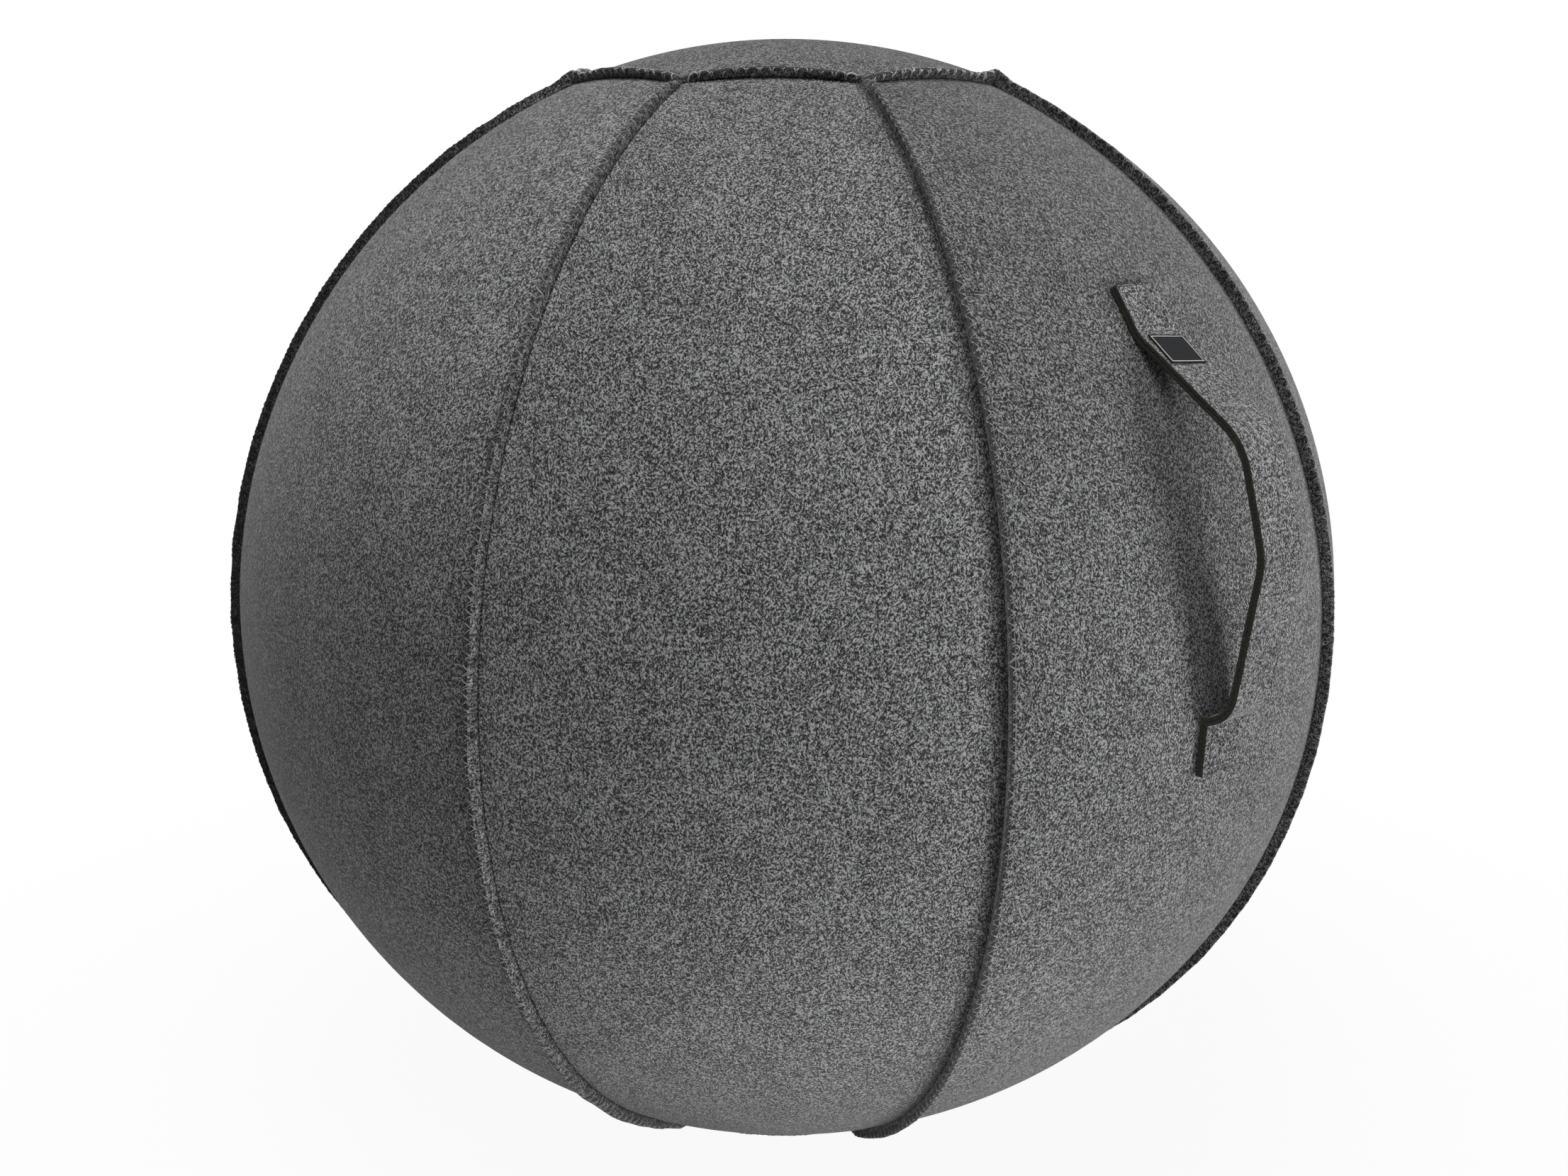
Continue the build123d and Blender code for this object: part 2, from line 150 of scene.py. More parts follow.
class Graph:
    """Adds and links the nodes of one shader tree."""

    def __init__(self, tree: bpy.types.NodeTree) -> None:
        """Keep the tree that the nodes go into."""
        self.tree = tree

    def add(self, kind: str, feeds: dict, **settings: object) -> bpy.types.Node:
        """Add one node.

        Args:
            kind: The node's type without its ShaderNode prefix.
            feeds: Input sockets by name or index, each with a value or a socket to link.
            settings: Plain properties of the node.

        Returns:
            The new node.
        """
        node = self.tree.nodes.new("ShaderNode" + kind)
        for name, value in settings.items():
            setattr(node, name, value)
        for key, value in feeds.items():
            if isinstance(value, bpy.types.NodeSocket):
                self.tree.links.new(value, node.inputs[key])
            else:
                node.inputs[key].default_value = value
        return node

    def math(self, operation: str, first: Feed, second: Feed = 0.0) -> bpy.types.NodeSocket:
        """Join two values by one sum."""
        return self.add("Math", {0: first, 1: second}, operation=operation).outputs[0]

    def blend(self, share: Feed, first: Feed, second: Feed, way: str = "MIX") -> bpy.types.NodeSocket:
        """Mix two colours by a share."""
        node = self.add("Mix", {0: share, 6: first, 7: second}, data_type="RGBA", blend_type=way)
        return node.outputs[2]

    def spread(
        self, value: Feed, low: float, high: float, least: float, most: float
    ) -> bpy.types.NodeSocket:
        """Map a value from one range to another, clamped at both ends."""
        feeds = {"Value": value, "From Min": low, "From Max": high, "To Min": least, "To Max": most}
        return self.add("MapRange", feeds).outputs[0]

    def ramp(self, value: Feed, stops: Iterable[tuple[float, tuple]]) -> bpy.types.NodeSocket:
        """Colour a value by a row of stops.

        Args:
            value: The value to colour.
            stops: Each stop's place, from 0 to 1, and its colour.

        Returns:
            The colour.
        """
        node = self.add("ValToRGB", {0: value})
        stops = list(stops)
        elements = node.color_ramp.elements
        while len(elements) < len(stops):
            elements.new(0.5)
        for element, (place, colour) in zip(elements, stops):
            element.position = place
            element.color = colour
        return node.outputs[0]

    def two_tone(self, value: Feed, span: tuple, colour: tuple, levels: tuple) -> bpy.types.NodeSocket:
        """Shade one colour between two levels over a span of a value."""
        return self.ramp(value, [(place, toned(colour, level)) for place, level in zip(span, levels)])

    def noise(
        self, vector: Feed, scale: float, detail: float = 2.0, roughness: float = 0.5, flat: bool = False
    ) -> bpy.types.NodeSocket:
        """Read a noise at a place, in the plane of a map if flat."""
        feeds = {"Vector": vector, "Scale": scale, "Detail": detail, "Roughness": roughness}
        return self.add("TexNoise", feeds, noise_dimensions="2D" if flat else "3D").outputs[0]

    def scaled(self, vector: Feed, sizes: tuple[float, float, float]) -> bpy.types.NodeSocket:
        """Multiply a vector by three sizes."""
        return self.add("VectorMath", {0: vector, 1: sizes}, operation="MULTIPLY").outputs[0]

    def map_place(self) -> bpy.types.NodeSocket:
        """Read the felt's own map, in metres over the cut cloth."""
        return self.add("UVMap", {}, uv_map=FELT_UV).outputs[0]

    def seen_directly(self) -> bpy.types.NodeSocket:
        """Tell the rays that show a surface, straight, mirrored or through glass, from those that light.

        Returns:
            1 for a ray that shows the surface and 0 for any other.
        """
        path = self.add("LightPath", {})
        seen = self.math("MAXIMUM", path.outputs["Is Camera Ray"], path.outputs["Is Glossy Ray"])
        return self.math("MAXIMUM", seen, path.outputs["Is Transmission Ray"])

    def object_place(self) -> bpy.types.NodeSocket:
        """Read the place in the object's own frame."""
        return self.add("TexCoord", {}).outputs["Object"]

    def attribute(self, name: str) -> bpy.types.NodeSocket:
        """Read a value that the mesh carries."""
        return self.add("Attribute", {}, attribute_name=name).outputs["Fac"]


def new_group(name: str, place: str, inputs: Iterable[str], outputs: Iterable[str]) -> bpy.types.NodeTree:
    """Make an empty shader group with its sockets.

    Args:
        name: The group's name.
        place: Name of its vector input.
        inputs: Names of its float inputs.
        outputs: Names of its float outputs.

    Returns:
        The group's tree.
    """
    tree = bpy.data.node_groups.new(name, "ShaderNodeTree")
    tree.interface.new_socket(place, in_out="INPUT", socket_type="NodeSocketVector")
    for label in inputs:
        tree.interface.new_socket(label, in_out="INPUT", socket_type="NodeSocketFloat")
    for label in outputs:
        tree.interface.new_socket(label, in_out="OUTPUT", socket_type="NodeSocketFloat")
    return tree


@dataclass(frozen=True)
class Tufts:
    """One layer of fibres: size of the tufts, length and width of the fibres in millimetres, and weight."""

    size: float
    length: float
    width: float
    weight: float

    def scatter(self, graph: Graph, place: Feed) -> bpy.types.NodeSocket:
        """Turn each tuft its own way and stroke it with fibres.

        Args:
            graph: The graph that the nodes go into.
            place: The place on the cloth in millimetres.

        Returns:
            The weighted height of the fibres.
        """
        feeds = {"Vector": place, "Scale": 1.0 / self.size, "Randomness": 1.0}
        cells = graph.add("TexVoronoi", feeds, voronoi_dimensions="2D")
        turn = graph.math("MULTIPLY", cells.outputs["Color"], math.pi)
        turned = graph.add("VectorRotate", {"Vector": place, "Angle": turn}, rotation_type="Z_AXIS")
        strokes = graph.scaled(turned.outputs[0], (1.0 / self.length, 1.0 / self.width, 1.0))
        return graph.math("MULTIPLY", graph.noise(strokes, 1.0, detail=1.0, flat=True), self.weight)


@dataclass(frozen=True)
class Heather:
    """Short fibres of light and dark wool, with clumps and wide clouds, by their rates per millimetre."""

    name: str = "wool_heather"
    coarse: Tufts = Tufts(2.6, 1.8, 0.88, 0.88)
    fine: Tufts = Tufts(1.3, 0.86, 0.46, 0.48)
    clump_rate: float = 0.42
    clump_weight: float = 0.36
    clump_roughness: float = 0.6
    fibre_mean: float = 0.86
    cloud_rate: float = 0.16
    wide_rate: float = 0.035
    wide_weight: float = 0.5
    cloud_mean: float = 0.75
    tone_mean: float = 0.5

    def group(self) -> bpy.types.NodeTree:
        """Make the shader group, or find it if it is made already.

        Returns:
            A group that takes a place in metres and gives a tone and a height, both about 0.5.
        """
        if self.name in bpy.data.node_groups:
            return bpy.data.node_groups[self.name]
        tree = new_group(self.name, "Place", ["Fleck", "Mottle"], ["Tone", "Height"])
        graph = Graph(tree)
        source = tree.nodes.new("NodeGroupInput").outputs
        target = tree.nodes.new("NodeGroupOutput").inputs
        feeds = {0: source["Place"], "Scale": 1.0 / MILLIMETRE}
        place = graph.add("VectorMath", feeds, operation="SCALE").outputs[0]
        fibres = graph.math("ADD", self.coarse.scatter(graph, place), self.fine.scatter(graph, place))
        clumps = graph.noise(place, self.clump_rate, roughness=self.clump_roughness, flat=True)
        clumped = graph.math("ADD", fibres, graph.math("MULTIPLY", clumps, self.clump_weight))
        flecks = graph.math("MULTIPLY", graph.math("SUBTRACT", clumped, self.fibre_mean), source["Fleck"])
        wide = graph.noise(place, self.wide_rate, detail=1.0, flat=True)
        wide = graph.math("MULTIPLY", wide, self.wide_weight)
        clouds = graph.math("ADD", graph.noise(place, self.cloud_rate, detail=1.0, flat=True), wide)
        mottle = graph.math("MULTIPLY", graph.math("SUBTRACT", clouds, self.cloud_mean), source["Mottle"])
        tone = graph.math("ADD", graph.math("ADD", flecks, mottle), self.tone_mean)
        tree.links.new(tone, target["Tone"])
        tree.links.new(fibres, target["Height"])
        return tree


@dataclass(frozen=True)
class Finish:
    """A finish: the constants of its shader, and the name of its material."""

    name: str
    roughness: float = 0.9
    specular: float = 0.2
    sheen: float = 0.0
    bump: float = 0.0
    bump_depth: float = 0.0003

    def paint(self, graph: Graph) -> tuple[Feed, Feed]:
        """Work out the colour and the height of the surface.

        Args:
            graph: The material's node graph.

        Returns:
            A colour socket and a height socket.
        """
        raise NotImplementedError

    def material(self) -> bpy.types.Material:
        """Make the material, or find it if it is made already.

        Returns:
            The material.
        """
        if self.name in bpy.data.materials:
            return bpy.data.materials[self.name]
        made = bpy.data.materials.new(self.name)
        made.use_nodes = True
        graph = Graph(made.node_tree)
        shader = made.node_tree.nodes["Principled BSDF"]
        colour, height = self.paint(graph)
        made.node_tree.links.new(colour, shader.inputs["Base Color"])
        shader.inputs["Roughness"].default_value = self.roughness
        shader.inputs["Specular IOR Level"].default_value = self.specular
        shader.inputs["Sheen Weight"].default_value = self.sheen
        if self.bump:
            feeds = {"Height": height, "Strength": self.bump, "Distance": self.bump_depth}
            relief = graph.add("Bump", feeds)
            made.node_tree.links.new(relief.outputs[0], shader.inputs["Normal"])
        return made


@dataclass(frozen=True)
class FeltFinish(Finish):
    """Heathered wool felt, darker where it is turned out and sewn over, with painted shade and light
    carried by the mesh.
    """

    fleck: float = 1.9
    mottle: float = 0.24
    # Strength of the painted shade in the crease where the felt turns out, and in the painted groove beside
    # ridges.
    fold: float = 3.2
    tint: tuple = (0.985, 1.0, 0.995)
    greys: tuple = ((0.16, 0.018), (0.36, 0.058), (0.48, 0.118), (0.60, 0.215), (0.80, 0.47))
    thread_pitch: float = 0.0017
    thread_shade: tuple[float, float] = (0.82, 1.12)
    worn_rate: float = 190.0
    worn_span: tuple[float, float] = (0.34, 0.66)
    worn_shade: tuple[float, float] = (0.72, 1.22)

    def paint(self, graph: Graph) -> tuple[Feed, Feed]:
        """Scatter the fibres, then darken the turned-out edges with their close threads and add the painted
        shade and light that the mesh carries.

        Args:
            graph: The material's node graph.

        Returns:
            A colour socket and a height socket.
        """
        wool = graph.add("Group", {}, node_tree=Heather().group())
        graph.tree.links.new(graph.map_place(), wool.inputs["Place"])
        wool.inputs["Fleck"].default_value = self.fleck
        wool.inputs["Mottle"].default_value = self.mottle
        stops = [(place, toned(self.tint, level)) for place, level in self.greys]
        colour = graph.ramp(wool.outputs["Tone"], stops)
        wave = graph.math("MULTIPLY", graph.attribute(ALONG), 2.0 * math.pi / self.thread_pitch)
        rungs = graph.spread(graph.math("SINE", wave), -1.0, 1.0, *self.thread_shade)
        # Painted light and shade: each wall's level, carried by the mesh.
        rungs = graph.math("MULTIPLY", rungs, graph.attribute(SHADE))
        turned = graph.attribute(TURNED_AND_GROOVE_SHADE)
        worn = graph.noise(graph.map_place(), self.worn_rate, detail=1.0, flat=True)
        edge = graph.math("MULTIPLY", rungs, graph.spread(worn, *self.worn_span, *self.worn_shade))
        flat = graph.math("SUBTRACT", 1.0, turned)
        dim = graph.math("ADD", flat, graph.math("MULTIPLY", turned, edge))
        # Painted shade in the crease of each fold and in the groove beside ridges, darkest where the turned
        # share is a half.
        crease_shade = graph.math("MULTIPLY", graph.math("MULTIPLY", turned, flat), self.fold)
        level = graph.math("MULTIPLY", dim, graph.math("SUBTRACT", 1.0, crease_shade))
        # Painted light and shade per gore, changing toward its top.
        level = graph.math("MULTIPLY", level, graph.attribute(PAINTED_PANEL_LIGHT))
        return graph.blend(1.0, colour, level, "MULTIPLY"), wool.outputs["Height"]


@dataclass(frozen=True)
class CutFeltFinish(Finish):
    """The raw edge where felt is cut: close and darker than the face, a little olive unless tinted."""

    level: float = 0.040
    tint: tuple = (1.03, 1.0, 0.86)
    fibre_rate: float = 1900.0
    shares: tuple = ((0.30, 0.45), (0.55, 1.0), (0.72, 2.6))

    def paint(self, graph: Graph) -> tuple[Feed, Feed]:
        """Break the dark edge with a few paler fibres.

        Args:
            graph: The material's node graph.

        Returns:
            A colour socket and a height socket.
        """
        fibres = graph.noise(graph.object_place(), self.fibre_rate, detail=3.0, roughness=0.6)
        stops = [(place, toned(self.tint, share * self.level)) for place, share in self.shares]
        # Dimmed with its wall where the wall's level is below plain (seam 5), partly painted shade.
        dim = graph.spread(graph.attribute(SHADE), 0.0, PLAIN_SHADE, 0.0, 1.0)
        return graph.blend(1.0, graph.ramp(fibres, stops), dim, "MULTIPLY"), fibres


@dataclass(frozen=True)
class ThreadFinish(Finish):
    """Sewing thread, a little uneven along its length."""

    colour: tuple = (0.44, 0.45, 0.44)
    rate: float = 420.0
    span: tuple[float, float] = (0.36, 0.62)
    levels: tuple[float, float] = (0.55, 1.0)

    def paint(self, graph: Graph) -> tuple[Feed, Feed]:
        """Vary the thread between its own colour and a duller one.

        Args:
            graph: The material's node graph.

        Returns:
            A colour socket and a height socket.
        """
        uneven = graph.noise(graph.object_place(), self.rate, detail=3.0)
        return graph.two_tone(uneven, self.span, self.colour, self.levels), uneven


@dataclass(frozen=True)
class WovenFinish(Finish):
    """Close woven tape: fine ribs both ways, read on the object's own place."""

    colour: tuple = (0.05, 0.051, 0.053)
    rib: float = 0.0007
    rib_weight: float = 0.5
    fuzz_rate: float = 900.0
    span: tuple[float, float] = (0.1, 0.9)
    levels: tuple[float, float] = (0.6, 1.5)

    def paint(self, graph: Graph) -> tuple[Feed, Feed]:
        """Weave two sets of ribs and fleck them with noise.

        Args:
            graph: The material's node graph.

        Returns:
            A colour socket and a height socket.
        """
        place = graph.object_place()
        parts = graph.add("SeparateXYZ", {0: place})
        turn = 2.0 * math.pi / self.rib
        across = graph.math("SINE", graph.math("MULTIPLY", parts.outputs[0], turn))
        down = graph.math("SINE", graph.math("MULTIPLY", parts.outputs[2], turn))
        weave = graph.math("MULTIPLY", across, down)
        fuzz = graph.noise(place, self.fuzz_rate)
        height = graph.math("ADD", graph.math("MULTIPLY", weave, self.rib_weight), fuzz)
        return graph.two_tone(height, self.span, self.colour, self.levels), height


@dataclass(frozen=True)
class TagFinish(Finish):
    """Black woven tag with a plain pale line woven round it, a little inside its edges."""

    size: tuple[float, float] = (0.024, 0.021)
    inset: float = 0.0012
    line: float = 0.00045
    ground: tuple = (0.012, 0.0135, 0.015)
    pale: tuple = (0.78, 0.78, 0.77)
    yarn: float = 0.00035
    levels: tuple[float, float] = (0.65, 1.0)

    def paint(self, graph: Graph) -> tuple[Feed, Feed]:
        """Weave the ground, then draw the line at one distance from the edges.

        Args:
            graph: The material's node graph.

        Returns:
            A colour socket and a height socket.
        """
        parts = graph.add("SeparateXYZ", {0: graph.map_place()})
        gaps = []
        for part, length in zip(parts.outputs, self.size):
            gaps.append(graph.math("SUBTRACT", length / 2.0, graph.math("ABSOLUTE", part)))
        edge = graph.math("MINIMUM", gaps[0], gaps[1])
        off_line = graph.math("ABSOLUTE", graph.math("SUBTRACT", edge, self.inset))
        drawn = graph.math("LESS_THAN", off_line, self.line / 2.0)
        ribs = graph.math("SINE", graph.math("MULTIPLY", parts.outputs[1], 2.0 * math.pi / self.yarn))
        weave = graph.spread(ribs, -1.0, 1.0, 0.0, 1.0)
        ground = graph.two_tone(weave, (0.0, 1.0), self.ground, self.levels)
        return graph.blend(drawn, ground, toned(self.pale)), weave


@dataclass(frozen=True)
class MouldedFinish(Finish):
    """Moulded plastic, vinyl or enamel with a fine uneven surface."""

    colour: tuple = (0.12, 0.125, 0.135)
    grain_rate: float = 700.0
    grain_weight: float = 0.4
    cloud_rate: float = 18.0
    cloud_weight: float = 0.6
    span: tuple[float, float] = (0.3, 0.7)
    levels: tuple[float, float] = (0.82, 1.18)

    def paint(self, graph: Graph) -> tuple[Feed, Feed]:
        """Shade the colour by a fine grain and a slow cloud.

        Args:
            graph: The material's node graph.

        Returns:
            A colour socket and a height socket.
        """
        place = graph.object_place()
        grain = graph.noise(place, self.grain_rate, detail=3.0)
        cloud = graph.math("MULTIPLY", graph.noise(place, self.cloud_rate), self.cloud_weight)
        tone = graph.math("ADD", graph.math("MULTIPLY", grain, self.grain_weight), cloud)
        return graph.two_tone(tone, self.span, self.colour, self.levels), grain


class Finishes:
    """Every finish of the ball."""

    felt = FeltFinish(
        "felt_heather", roughness=0.95, specular=0.12, sheen=0.18, bump=0.55, bump_depth=0.0005
    )
    cut = CutFeltFinish("felt_cut_edge", roughness=0.95, specular=0.1, bump=0.4)
    brow = CutFeltFinish(
        "felt_ridge_edge", roughness=0.95, specular=0.1, bump=0.4, level=0.075, tint=(1.0, 1.0, 0.97)
    )
    overlock = ThreadFinish("overlock_thread", roughness=0.55, specular=0.35)
    # Painted highlight: the top cap's thread is paler than the rest, standing in for light caught on the
    # crest.
    cap_thread = ThreadFinish(
        "cap_overlock_thread_painted_highlight", roughness=0.55, specular=0.35, colour=(0.72, 0.73, 0.71)
    )
    dark_thread = ThreadFinish("dark_thread", roughness=0.8, colour=(0.055, 0.056, 0.054))
    tag = TagFinish("tag_weave", roughness=0.75, specular=0.15, bump=0.3, bump_depth=0.0001)
    zip_tape = WovenFinish("zip_tape_weave", bump=0.5, bump_depth=0.0002)
    coil = MouldedFinish("zip_nylon", roughness=0.42, specular=0.5, colour=(0.06, 0.061, 0.064))
    metal = MouldedFinish(
        "zip_enamel", roughness=0.34, specular=0.5, colour=(0.16, 0.16, 0.165), bump=0.1
    )
    skin = MouldedFinish("ball_vinyl", roughness=0.5, specular=0.4, bump=0.2)
    plug = MouldedFinish("plug_plastic", roughness=0.45, specular=0.5, colour=(0.75, 0.75, 0.73))


@dataclass(frozen=True)
class CoverForm:
    """Shape of the felt cover: eight gores and two caps about one centre."""

    centre: Vector
    radius: float
    felt: float = 0.0025
    gores: int = 8
    cap_corner: float = 0.125
    ridge: float = 0.007
    rim: float = 0.0007
    laid_share: float = 0.98
    lean_power: float = 1.5
    stub_run: float = 0.013
    bend: float = 0.0010
    dip: float = 0.0005
    dip_reach: float = 0.012
    # Painted shade in the groove beside each right seam, standing in for the ridge's shadow: its strength
    # and how far it reaches.
    painted_groove_shade: float = 0.32
    painted_groove_reach: float = 0.0045
    pinch: float = 0.52
    squeeze: float = 0.74

    @property
    def step(self) -> float:
        """Angle between two gores."""
        return 2.0 * math.pi / self.gores

    @property
    def half(self) -> float:
        """Half of a gore's angle."""
        return self.step / 2.0

    @property
    def cap_lift(self) -> float:
        """Elevation of the middle of a cap's edge."""
        corner = math.asin(self.cap_corner / self.radius)
        return math.pi / 2.0 - math.atan(math.tan(corner) * math.cos(self.half))

    @property
    def edge_half(self) -> float:
        """Half of the angle that a cap's edge takes at the ball's centre."""
        return math.asin(self.cap_corner / self.radius * math.sin(self.half))

    @property
    def corner_lift(self) -> float:
        """Elevation of a cap's corners."""
        return self.edge_lift(self.half)

    def edge_lift(self, offset: float) -> float:
        """Elevation of a cap's edge at an azimuth away from the edge's middle."""
        return math.atan(math.tan(self.cap_lift) * math.cos(offset))

    def edge_slant(self, offset: float) -> float:
        """How squarely a meridian crosses a cap's edge, 1 where it is square."""
        return math.hypot(math.sin(self.cap_lift) * math.cos(offset), math.cos(self.cap_lift))

    @property
    def gore_cut(self) -> tuple[float, float]:
        """Width and length that a gore is cut to, with its seam allowances."""
        width = 2.0 * (self.radius * self.half + self.ridge)
        return width, 2.0 * (self.radius * self.cap_lift + self.ridge)

    @property
    def gore_area(self) -> float:
        """Flat area of a gore: its share of the ball between the caps, and its allowances."""
        sides = 4.0 * self.radius * (self.corner_lift + self.edge_half)
        return 4.0 * self.half * self.radius**2 * math.sin(self.cap_lift) + sides * self.ridge

    @property
    def cap_cut(self) -> float:
        """Width that a cap is cut to between two opposite edges, with its allowances."""
        return 2.0 * (self.radius * (math.pi / 2.0 - self.cap_lift) + self.ridge)

    @property
    def cap_area(self) -> float:
        """Flat area of a cap."""
        return self.gores * (self.cap_cut / 2.0) ** 2 * math.tan(self.half)

    def toward(self, azimuth: float, lift: float) -> Vector:
        """Unit direction from the centre, azimuth counted from the handle."""
        level = math.cos(lift)
        return Vector((level * math.sin(azimuth), -level * math.cos(azimuth), math.sin(lift)))

    def at(self, azimuth: float, lift: float, height: float) -> Vector:
        """Point above the plain felt surface, flattened where the ball meets the floor.

        Args:
            azimuth: Angle round the ball, counted from the handle.
            lift: Elevation.
            height: Height above the plain felt.

        Returns:
            The point, never below the floor.
        """
        point = self.centre + self.toward(azimuth, lift) * (self.radius + height)
        point.z = max(point.z, 0.0)
        return point

    def lean_share(self, height: float) -> float:
        """Share of a ridge's lean at a height above the plain felt, 1 at the ridge's full height."""
        return (max(0.0, height) / self.ridge) ** self.lean_power


@dataclass(frozen=True)
class Seam:
    """A seam of the cover that stands as a ridge, read at angles from the seam's middle."""

    form: CoverForm
    index: int

    @property
    def reach(self) -> float:
        """Half the seam's angle."""
        raise NotImplementedError

    def crest(self, angle: float) -> float:
        """Height of the ridge's top above the plain felt."""
        raise NotImplementedError

    def place(self, angle: float, height: float, aside: float) -> Vector:
        """Point on the ridge, by its height above the plain felt and its distance from the middle."""
        raise NotImplementedError

    def to_end(self, angle: float) -> float:
        """Distance along the felt to the seam's nearer end."""
        return max(0.0, (self.reach - abs(angle)) * self.form.radius)


@dataclass(frozen=True)
class SideSeam(Seam):
    """A seam from cap to cap between two gores, standing as a ridge, with the zip in one of them."""

    lean_most: float = 0.0011
    lean_bias: float = 0.0
    lean_rates: tuple[float, float] = (4.2, 17.0)
    lean_shares: tuple[float, float] = (1.0, 0.4)
    held_run: float = 0.03
    uneven: float = 0.0006
    uneven_rate: float = 22.0
    slump: float = 0.0014
    droop: float = 0.0
    droop_span: tuple[float, float] = (0.15, 0.65)
    zip_low: float = 0.0
    zip_high: float = 0.0
    zip_half: float = 0.009
    zip_ramp: float = 0.008
    stubs: tuple[float, float] = (0.004, 0.004)
    # Painted light and shade on the right wall: its level round the middle, and where it fades to plain
    # (middle, near and far elevation).
    painted_wall_level: float = 1.3
    painted_wall_span: tuple[float, float, float] = (-0.05, 0.10, 0.55)

    @property
    def azimuth(self) -> float:
        """Where the seam stands round the ball."""
        return (self.index + 0.5) * self.form.step

    @property
    def aside(self) -> Vector:
        """Direction square to the seam's plane, toward the next gore."""
        return Vector((math.cos(self.azimuth), math.sin(self.azimuth), 0.0))

    @property
    def reach(self) -> float:
        """Half the seam's angle."""
        return self.form.corner_lift

    def open(self, lift: float) -> float:
        """How far the seam is opened for the zip.

        Args:
            lift: Elevation along the seam.

        Returns:
            A share from 0, sewn shut, to 1.
        """
        if self.zip_high <= self.zip_low:
            return 0.0
        ramp = self.zip_ramp / self.form.radius
        rising = smooth_step(lift, self.zip_low, self.zip_low + ramp)
        return rising * (1.0 - smooth_step(lift, self.zip_high - ramp, self.zip_high))

    def crest(self, lift: float) -> float:
        """Height of the ridge's top above the plain felt.

        Args:
            lift: Elevation along the seam.

        Returns:
            The height, higher at the stubs and none where the zip opens the seam.
        """
        stub = self.stubs[0] if lift < 0.0 else self.stubs[1]
        slump = self.slump + self.droop * smooth_step(lift, *self.droop_span)
        rise = (stub + slump) * (1.0 - smooth_step(self.to_end(lift), 0.0, self.form.stub_run))
        uneven = self.uneven * wander(lift * self.uneven_rate, self.index + 3.1)
        return (self.form.ridge - slump + rise + uneven) * (1.0 - self.open(lift))

    def lean(self, lift: float) -> float:
        """How far the ridge's top leans toward the next gore.

        Args:
            lift: Elevation along the seam.

        Returns:
            The distance, none at the seam's ends.
        """
        hold = smooth_step(self.to_end(lift), 0.0, self.held_run)
        slow = self.lean_shares[0] * wander(lift * self.lean_rates[0], self.index * 1.7 + 0.3)
        quick = self.lean_shares[1] * wander(lift * self.lean_rates[1], self.index * 2.9 + 5.2)
        return hold * (self.lean_bias + self.lean_most * (slow + quick))

    def place(self, lift: float, height: float, aside: float) -> Vector:
        """Point on the ridge.

        Args:
            lift: Elevation along the seam.
            height: Height above the plain felt.
            aside: Distance from the seam's middle, toward the next gore.

        Returns:
            The point, with the ridge's lean.
        """
        leaned = aside + self.lean(lift) * self.form.lean_share(height)
        return self.form.at(self.azimuth, lift, height) + self.aside * leaned

    def shade(self, lift: float) -> float:
        """Level of painted light and shade on the ridge's right wall, the seam's own round the middle and
        plain toward the caps.
        """
        middle, near, far = self.painted_wall_span
        return mix(self.painted_wall_level, PLAIN_SHADE, smooth_step(abs(lift - middle), near, far))


@dataclass(frozen=True)
class CapSeam(Seam):
    """A seam between a gore and a cap, standing as a ridge."""

    end: End
    lean_most: float = 0.0012
    lean_bias: float = 0.0
    lean_rate: float = 14.0
    held_run: float = 0.02
    uneven: float = 0.0005
    uneven_rate: float = 34.0
    slump: float = 0.0019
    sag: float = 0.0008
    sag_place: float = 0.015
    sag_reach: float = 0.010
    stubs: tuple[float, float] = (0.004, 0.004)

    @property
    def azimuth(self) -> float:
        """Azimuth of the seam's middle."""
        return self.index * self.form.step

    @property
    def outward(self) -> Vector:
        """Direction from the centre to the seam's middle."""
        return self.form.toward(self.azimuth, self.end.value * self.form.cap_lift)

    @property
    def tangent(self) -> Vector:
        """Direction along the seam at its middle."""
        return Vector((math.cos(self.azimuth), math.sin(self.azimuth), 0.0))

    @property
    def aside(self) -> Vector:
        """Direction square to the seam's plane, toward the pole."""
        past_pole = math.pi / 2.0 - self.form.cap_lift
        return self.form.toward(self.azimuth + math.pi, self.end.value * past_pole)

    @property
    def reach(self) -> float:
        """Half the seam's angle."""
        return self.form.edge_half

    def angle_at(self, offset: float, lift: float) -> float:
        """Angle along the seam of a direction, by its azimuth offset and elevation."""
        return math.asin(math.cos(lift) * math.sin(offset))

    def crest(self, angle: float) -> float:
        """Height of the ridge's top above the plain felt.

        Args:
            angle: Angle along the seam from its middle.

        Returns:
            The height, higher at the stubs and sagging beside them.
        """
        to_end = self.to_end(angle)
        stub = self.stubs[0] if angle < 0.0 else self.stubs[1]
        rise = (stub + self.slump) * (1.0 - smooth_step(to_end, 0.0, self.form.stub_run))
        sunk = self.sag * math.exp(-(((to_end - self.sag_place) / self.sag_reach) ** 2))
        uneven = self.uneven * wander(angle * self.uneven_rate, self.index + 11.0 * self.end.value)
        return self.form.ridge - self.slump - sunk + rise + uneven

    def lean(self, angle: float) -> float:
        """How far the ridge's top leans toward the pole.

        Args:
            angle: Angle along the seam from its middle.

        Returns:
            The distance, none at the seam's ends.
        """
        hold = smooth_step(self.to_end(angle), 0.0, self.held_run)
        slow = wander(angle * self.lean_rate, self.index * 3.3 + self.end.value)
        return hold * (self.lean_bias + self.lean_most * slow)

    def place(self, angle: float, height: float, aside: float) -> Vector:
        """Point on the ridge.

        Args:
            angle: Angle along the seam from its middle.
            height: Height above the plain felt.
            aside: Distance from the seam's middle, toward the pole.

        Returns:
            The point, with the ridge's lean.
        """
        along = self.outward * math.cos(angle) + self.tangent * math.sin(angle)
        point = self.form.centre + along * (self.form.radius + height)
        return point + self.aside * (aside + self.lean(angle) * self.form.lean_share(height))


